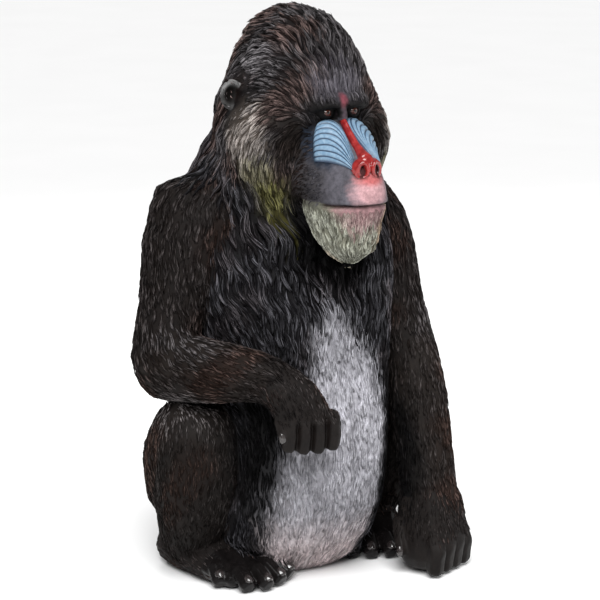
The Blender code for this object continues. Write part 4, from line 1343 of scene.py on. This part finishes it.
def make_ridges(side, tree, material):
    """The ribbed blue cheek beside the nose: long ribs that converge at the nostril."""
    word = "left" if side > 0 else "right"
    across, along = 109, 45
    lines = [[at(side * x, f, z) for x, f, z in pair] for pair in RIDGE_LINES]
    base = np.zeros((along, across, 3))
    for j, v in enumerate(np.arange(along) / (along - 1)):
        for i, u in enumerate(np.arange(across) / (across - 1)):
            start, bend, tip = (top.lerp(low, u) for top, low in lines)
            point = start * (1 - v) ** 2 + bend * 2 * v * (1 - v) + tip * v**2
            base[j, i] = tree.find_nearest(point)[0]
    base = evened(base, 40)
    out = side * unit(np.cross(np.gradient(base, axis=0), np.gradient(base, axis=1)))
    u, v = np.meshgrid(np.linspace(0, 1, across), np.linspace(0, 1, along))
    rim = np.minimum(1, np.minimum(np.minimum(9 * u, 9 * (1 - u)), 0.15 + 7 * np.minimum(v, 1 - v)))
    rib = np.abs(np.sin(math.pi * RIDGE_RIBS * u)) ** 0.55
    along_rib = np.interp(v, [0, 0.05, 0.12, 0.22, 0.4, 0.7, 1], [0, 0.5, 0.85, 1, 0.9, 0.55, 0.1])
    crown = RIDGE_CROWN * np.sin(math.pi * (0.06 + 0.88 * u)) ** 0.8 * along_rib
    rise = 0.0006 + rim * (0.0016 + 0.0026 * rib) + crown
    upper = (base + out * rise[..., None]).reshape(-1, 3)
    lower = (base - out * 0.0025).reshape(-1, 3)
    # Painted shade: darker blue along the panel's outer end and its lowest rib, kept with the grooves
    shade = 0.42 * (1 - smoothstep(0.0, 0.16, v)) + 0.30 * smoothstep(0.88, 1.0, u)
    groove_and_shade = np.maximum((1 - rib) * np.minimum(1, rim + 0.3) + 0.6 * (1 - rim), shade)
    mesh = mesh_from("ridges", np.concatenate([upper, lower]), closed_grid(across, along))
    number_layer(mesh, "GrooveAndShade", np.concatenate([groove_and_shade.ravel(), np.ones(along * across)]))
    ridges = new_object(f"cheek_{word}", faced_outward(mesh), material)
    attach(ridges, "root")
    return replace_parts(ridges, f"cheek_ridges_{word}")


def nose_parts():
    """Closed bodies of the stripe, the round nose and the rims of its nostrils."""
    rows = curve_through(NOSE_STRIPE, 22)
    parts = [tube("stripe", [at(0, r[0], r[1]) for r in rows], [(r[2], r[3]) for r in rows])]
    parts.append(ball("top", at(0, rows[0][0], rows[0][1]), (0.0048, 0.0048, 0.0048)))
    parts.append(ball("pad", at(0, 0.2275, 0.6795), (0.0165, 0.0120, 0.0170)))
    for side in (-1, 1):
        parts.append(ball("wing", at(side * 0.0118, 0.2270, NOSTRIL_HEIGHT), (0.0128, 0.0120, 0.0165)))
        ring = []
        for k in range(25):
            turn = 2 * math.pi * k / 24
            across = 0.0080 * math.cos(turn) - 0.0014 * math.sin(turn)
            forward = 0.2370 - 0.45 * across + 0.0006 * math.sin(turn)
            ring.append(at(side * (0.0122 + across), forward, NOSTRIL_HEIGHT + 0.0118 * math.sin(turn)))
        parts.append(tube("rim", ring, [(0.0034, 0.0034)] * len(ring), Vector((0, 1, 0)), 12))
    return parts


def make_nose(material):
    """Red stripe along the nasal bone, flaring into the round nose with its two nostrils."""
    nose = fused("nose_pad", nose_parts(), 0.0009)
    for side in (-1, 1):
        hole = ball("hole", Vector(), (0.0050, 0.0105, 0.0086), 24)
        turn = Matrix.Rotation(side * math.radians(18), 4, "Z")
        hole.data.transform(Matrix.Translation(at(side * NOSTRIL_SIDE, 0.2425, NOSTRIL_HEIGHT)) @ turn)
        cut_out(nose, hole)
    remeshed(nose, 0.0008)
    points = evened_out(points_of(nose.data), edges_of(nose.data), 5, 0.5)
    set_points(nose.data, points)
    apart = reach_of(mirrored(points_of(nose.data)), (NOSTRIL_SIDE, 0.2340, NOSTRIL_HEIGHT), (1, 1.1, 1.6))
    # Dark paint in the nostrils, partly painted shade of the holes
    number_layer(nose.data, "Hole", smoothstep(0.0068, 0.0046, apart))
    painted(nose, material)
    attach(nose, "root")
    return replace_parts(nose, "nose")


def make_eye(side, material):
    """One eyeball with a clear bulge over its iris."""
    word = "left" if side > 0 else "right"
    centre = at(side * EYE_SIDE, EYE_FORWARD, EYE_HEIGHT)
    gaze = at(side * 0.02, 1.0, 0.0).normalized()
    eye = ball(f"eyeball_{word}", Vector(), (EYE_RADIUS,) * 3, 64)
    points = points_of(eye.data)
    angle = np.arccos(np.clip(unit(points) @ np.array(gaze), -1, 1))
    bulge = 1 + 0.07 * smoothstep(0.62, 0.25, angle)
    set_points(eye.data, points * bulge[:, None] + np.array(centre))
    number_layer(eye.data, "Angle", angle)
    painted(eye, material)
    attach(eye, "root")
    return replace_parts(eye, f"eye_{word}")


def nail_plate(tree, place, heading, half_width, half_length):
    """Upper and lower points of one closed, curved nail laid on the digit."""
    place, normal, _, _ = tree.find_nearest(at(*place))
    heading = at(*heading)
    heading = (heading - normal * heading.dot(normal)).normalized()
    side = heading.cross(normal).normalized()
    across, along = NAIL_GRID
    top, bottom = [], []
    for j in range(along):
        v = 2 * j / (along - 1) - 1
        for i in range(across):
            u = 2 * i / (across - 1) - 1
            narrow = math.sqrt(max(0.0, 1 - 0.82 * abs(v) ** 2.6))
            crown = 0.0016 * (1 - u * u) + 0.0010 - 0.0010 * v * v
            base = place + side * u * half_width * narrow + heading * v * half_length
            base = base - normal * 0.0030 * u * u
            top.append(base + normal * crown)
            bottom.append(base - normal * 0.0022)
    return top + bottom


def closed_grid(across, along):
    """Faces that close two grids of points into one body."""
    faces = []
    count = along * across
    for j in range(along - 1):
        for i in range(across - 1):
            a = j * across + i
            faces.append((a, a + 1, a + across + 1, a + across))
            faces.append((count + a, count + a + across, count + a + across + 1, count + a + 1))
    edge = (
        list(range(across))
        + [j * across + across - 1 for j in range(1, along)]
        + [(along - 1) * across + i for i in range(across - 2, -1, -1)]
        + [j * across for j in range(along - 2, 0, -1)]
    )
    for a, b in zip(edge, edge[1:] + edge[:1]):
        faces.append((b, a, count + a, count + b))
    return faces


def nail_rows(word):
    """Place, heading and half sizes of each nail of one side's foot and thumb."""
    rows = []
    for tip, root in zip(TOE_TIPS, TOE_ROOTS):
        line = np.array([tip[0] - root[0], tip[1] - root[1]])
        line = line / np.linalg.norm(line)
        place = np.array(tip) + 0.005 * line
        if word == "left":
            line[0] = -line[0]
            place = np.array([-place[0] + LEFT_LEG_OUT, place[1] - LEFT_LEG_BACK])
        rows.append(((*place, 0.0290), (*(line * 0.9), -0.50), 0.0082, 0.0076))
    rows.append((*THUMB_NAILS[word], 0.0064, 0.0078))
    return rows


def make_nails(surface, material):
    """The nails of the toes and thumb, as one piece for each side."""
    for word in ("right", "left"):
        points, faces = [], []
        for row in nail_rows(word):
            faces += [[len(points) + k for k in face] for face in closed_grid(*NAIL_GRID)]
            points += nail_plate(surface.tree, *row)
        mesh = mesh_from("nails", lifted(np.array(points), 0.0002), faces)
        nails = new_object(f"nails_{word}", faced_outward(mesh), material)
        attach(nails, "root")


class Paints:
    """Builds one procedural material, node by node."""

    def __init__(self, name):
        self.material = bpy.data.materials.new(name)
        self.material.use_nodes = True
        self.tree = self.material.node_tree
        self.shader = self.tree.nodes["Principled BSDF"]

    def link(self, source, target):
        self.tree.links.new(source, target)

    def node(self, kind, **inputs):
        made = self.tree.nodes.new(kind)
        for key, value in inputs.items():
            made.inputs[key.replace("_", " ")].default_value = value
        return made

    def attribute(self, name, output="Fac"):
        made = self.node("ShaderNodeAttribute")
        made.attribute_name = name
        return made.outputs[output]

    def noise(self, scale, detail=3.0, rough=0.55, vector=None):
        made = self.node("ShaderNodeTexNoise", Scale=scale, Detail=detail, Roughness=rough)
        self.link(vector or self.node("ShaderNodeTexCoord").outputs["Object"], made.inputs["Vector"])
        return made.outputs["Fac"]

    def ramp(self, source, low, high, start=0.0, end=1.0):
        made = self.node("ShaderNodeMapRange", From_Min=low, From_Max=high, To_Min=start, To_Max=end)
        made.interpolation_type = "SMOOTHSTEP"
        self.link(source, made.inputs["Value"])
        return made.outputs["Result"]

    def mix(self, factor, low, high):
        made = self.node("ShaderNodeMix")
        made.data_type = "RGBA"
        wanted = {"Factor": factor, "A": low, "B": high}
        for socket in made.inputs:
            value = wanted.get(socket.name)
            if value is None or not socket.enabled:
                continue
            if isinstance(value, tuple):
                socket.default_value = (*value, 1.0)
            else:
                self.link(value, socket)
        return next(s for s in made.outputs if s.enabled)

    def mottled(self, source, low, high):
        return self.mix(self.ramp(source, 0.3, 0.7), low, high)

    def maths(self, operation, first, second):
        made = self.node("ShaderNodeMath")
        made.operation = operation
        for socket, value in zip(made.inputs, (first, second)):
            if isinstance(value, float):
                socket.default_value = value
            else:
                self.link(value, socket)
        return made.outputs[0]

    def scaled(self, colour, tone):
        made = self.node("ShaderNodeVectorMath")
        made.operation = "SCALE"
        self.link(colour, made.inputs[0])
        self.link(tone, made.inputs["Scale"])
        return made.outputs[0]

    def bump(self, height, strength, distance):
        made = self.node("ShaderNodeBump", Strength=strength, Distance=distance)
        self.link(height, made.inputs["Height"])
        self.link(made.outputs["Normal"], self.shader.inputs["Normal"])

    def finish(self, colour, roughness, specular=0.5, coat=0.0, coat_roughness=0.1):
        self.link(colour, self.shader.inputs["Base Color"])
        self.link(roughness, self.shader.inputs["Roughness"])
        self.shader.inputs["Specular IOR Level"].default_value = specular
        self.shader.inputs["Coat Weight"].default_value = coat
        self.shader.inputs["Coat Roughness"].default_value = coat_roughness
        return self.material


def coat_paint():
    """Dry-brushed paint of the carved hair, with finer hairs cut along each strand."""
    paint = Paints("coat")
    hair = paint.node("ShaderNodeUVMap")
    hair.uv_map = "Hair"
    stretch = paint.node("ShaderNodeMapping", Scale=(4.0, 1.0, 1.0))
    paint.link(hair.outputs["UV"], stretch.inputs["Vector"])
    cuts = paint.noise(1.6, 3.0, 0.6, stretch.outputs["Vector"])
    patches = paint.noise(38.0)
    fine_tone = paint.ramp(cuts, 0.30, 0.70, 0.62, 1.38)
    wide_tone = paint.ramp(patches, 0.3, 0.7, 0.70, 1.25)
    tone = paint.maths("MULTIPLY", fine_tone, wide_tone)
    colour = paint.scaled(paint.attribute("Paint", "Color"), tone)
    paint.bump(cuts, 0.55, 0.0008)
    return paint.finish(colour, paint.ramp(patches, 0.3, 0.7, 0.42, 0.58), 0.04)


def skin_paint():
    """Paint of the skin: hair ground under the coat, mottled satin paint where it is bare."""
    paint = Paints("skin")
    mottle = paint.noise(150.0, 6.0, 0.7)
    pores = paint.noise(900.0, 3.0, 0.6)
    patches = paint.noise(35.0, 4.0)
    fine_tone = paint.ramp(mottle, 0.32, 0.68, 0.78, 1.30)
    wide_tone = paint.ramp(patches, 0.3, 0.7, 0.8, 1.2)
    tone = paint.maths("MULTIPLY", fine_tone, wide_tone)
    colour = paint.scaled(paint.attribute("Paint", "Color"), tone)
    low_relief = paint.maths("MULTIPLY", pores, 0.3)
    height = paint.maths("ADD", paint.maths("MULTIPLY", mottle, 0.7), low_relief)
    paint.bump(height, 0.45, 0.0012)
    return paint.finish(colour, paint.ramp(paint.attribute("Gloss"), 0.0, 1.0, 0.72, 0.20), 0.13)


def ridge_paint():
    """Light blue paint over the ribs, dark blue left in the grooves and toward the panel's edges, with
    painted shade along its outer end and lowest rib.
    """
    paint = Paints("ridge_blue")
    brush = paint.noise(220.0, 4.0, 0.65)
    groove_and_shade = paint.ramp(paint.attribute("GrooveAndShade"), 0.18, 0.72)
    light = paint.mix(paint.ramp(brush, 0.35, 0.7), (0.120, 0.212, 0.312), (0.205, 0.300, 0.395))
    colour = paint.mix(groove_and_shade, light, (0.022, 0.042, 0.080))
    paint.bump(brush, 0.30, 0.0006)
    return paint.finish(colour, paint.ramp(brush, 0.3, 0.7, 0.34, 0.50), 0.5)


def nose_paint():
    """Glossy red enamel, with dark paint in the nostrils that is partly painted shade of the holes."""
    paint = Paints("nose_red")
    cloud = paint.noise(120.0, 4.0)
    red = paint.mottled(cloud, (0.17, 0.007, 0.007), (0.29, 0.019, 0.017))
    colour = paint.mix(paint.attribute("Hole"), red, (0.012, 0.002, 0.002))
    paint.bump(cloud, 0.18, 0.0006)
    return paint.finish(colour, paint.ramp(cloud, 0.3, 0.7, 0.16, 0.28), 0.4, 0.5, 0.08)


def eye_paint():
    """Glass eye: black pupil, red-brown iris and a dark rim."""
    paint = Paints("eye")
    angle = paint.attribute("Angle")
    streaks = paint.noise(700.0, 4.0)
    iris = paint.mottled(streaks, (0.024, 0.005, 0.003), (0.074, 0.017, 0.007))
    inner = paint.mix(paint.ramp(angle, 0.20, 0.27), (0.002, 0.002, 0.002), iris)
    outer = paint.mix(paint.ramp(angle, 0.58, 0.68), inner, (0.006, 0.004, 0.004))
    return paint.finish(outer, paint.ramp(streaks, 0.3, 0.7, 0.06, 0.10), 0.35, 0.3, 0.03)


def nail_paint():
    """Dark horn with a gloss and soft, cloudy relief."""
    paint = Paints("nail")
    cloud = paint.noise(260.0, 4.0)
    colour = paint.mottled(cloud, (0.010, 0.008, 0.008), (0.034, 0.028, 0.027))
    paint.bump(cloud, 0.25, 0.0005)
    return paint.finish(colour, paint.ramp(cloud, 0.3, 0.7, 0.14, 0.24), 0.5, 0.6, 0.08)


def floor_paint():
    """Plain pale studio floor."""
    paint = Paints("floor")
    grain = paint.noise(3.0, 2.0)
    colour = paint.mix(grain, (0.86, 0.86, 0.86), (0.89, 0.89, 0.89))
    return paint.finish(colour, paint.ramp(grain, 0.0, 1.0, 0.7, 0.8), 0.1)


def placed(obj_data, place=(0, 0, 0)):
    """Puts a light or camera into the scene."""
    obj = bpy.data.objects.new(obj_data.name, obj_data)
    obj.location = place
    bpy.context.scene.collection.objects.link(obj)
    return obj


def make_floor():
    """The pale floor of the studio."""
    corners = [(-30, -30, 0), (30, -30, 0), (30, 30, 0), (-30, 30, 0)]
    floor_mesh = mesh_from("floor", corners, [(0, 1, 2, 3)])
    new_object("floor", floor_mesh, floor_paint())


def make_lights():
    """A pale room, a soft sun from above and three lamps round the statue."""
    scene = bpy.context.scene
    scene.view_settings.view_transform = "Standard"
    scene.world = bpy.data.worlds.new("studio")
    scene.world.use_nodes = True
    background = scene.world.node_tree.nodes["Background"]
    background.inputs["Color"].default_value = (1, 1, 1, 1)
    background.inputs["Strength"].default_value = ROOM_LIGHT
    sun = bpy.data.lights.new("overhead", "SUN")
    sun.energy = 3.2
    sun.angle = math.radians(35)
    placed(sun).rotation_euler = (math.radians(28), math.radians(-16), 0)
    for name, place, size, energy in LAMPS:
        data = bpy.data.lights.new(name, "AREA")
        data.energy = energy
        data.size = size
        toward_statue = Vector(LAMPS_AIM) - Vector(place)
        placed(data, place).rotation_euler = toward_statue.to_track_quat("-Z", "Y").to_euler()


def make_camera():
    """The camera at the photograph's angle and scale."""
    turn, rise = math.radians(PHOTO_TURN), math.radians(PHOTO_RISE)
    level = math.cos(rise)
    back = Vector((math.sin(turn) * level, -math.cos(turn) * level, math.sin(rise)))
    data = bpy.data.cameras.new("camera")
    data.sensor_width = SENSOR
    data.lens = PHOTO_DISTANCE * PHOTO_SCALE * SENSOR / PHOTO_SIZE
    data.shift_x = (PHOTO_SIZE / 2 - PHOTO_MIDDLE[0]) / PHOTO_SIZE
    data.shift_y = (PHOTO_MIDDLE[1] - PHOTO_SIZE / 2) / PHOTO_SIZE
    camera = placed(data, Vector(PHOTO_AIM) + back * PHOTO_DISTANCE)
    camera.rotation_mode = "QUATERNION"
    camera.rotation_quaternion = (-back).to_track_quat("-Z", "Y")
    bpy.context.scene.camera = camera


def main():
    """Dresses the casting."""
    make_floor()
    make_lights()
    make_camera()
    skin, flesh_tree, owners = make_skin(skin_paint())
    surface = Surface(skin, flesh_tree, owners)
    ground = paint_of(surface.points, surface.owner)[0]
    colour, gloss = face_paint(surface.points, surface.owner, ground)
    colour_layer(skin.data, "Paint", colour)
    number_layer(skin.data, "Gloss", gloss)
    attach(skin, "root")
    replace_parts(skin, *FLESH)
    unwrapped = unwrap(skin)
    coat = coat_paint()
    rng = np.random.default_rng(SEED)
    thin = 1.0
    make_coat(surface, unwrapped, coat, False, int(STRANDS_SHORT * thin), LOCKS_SHORT, 3, rng)
    make_coat(surface, unwrapped, coat, True, int(STRANDS_LONG * thin), LOCKS_LONG, 4, rng)
    blue = ridge_paint()
    eye = eye_paint()
    muzzle = node_tree("muzzle")
    for side in (-1, 1):
        make_ridges(side, muzzle, blue)
        make_eye(side, eye)
    make_nose(nose_paint())
    make_nails(surface, nail_paint())


main()
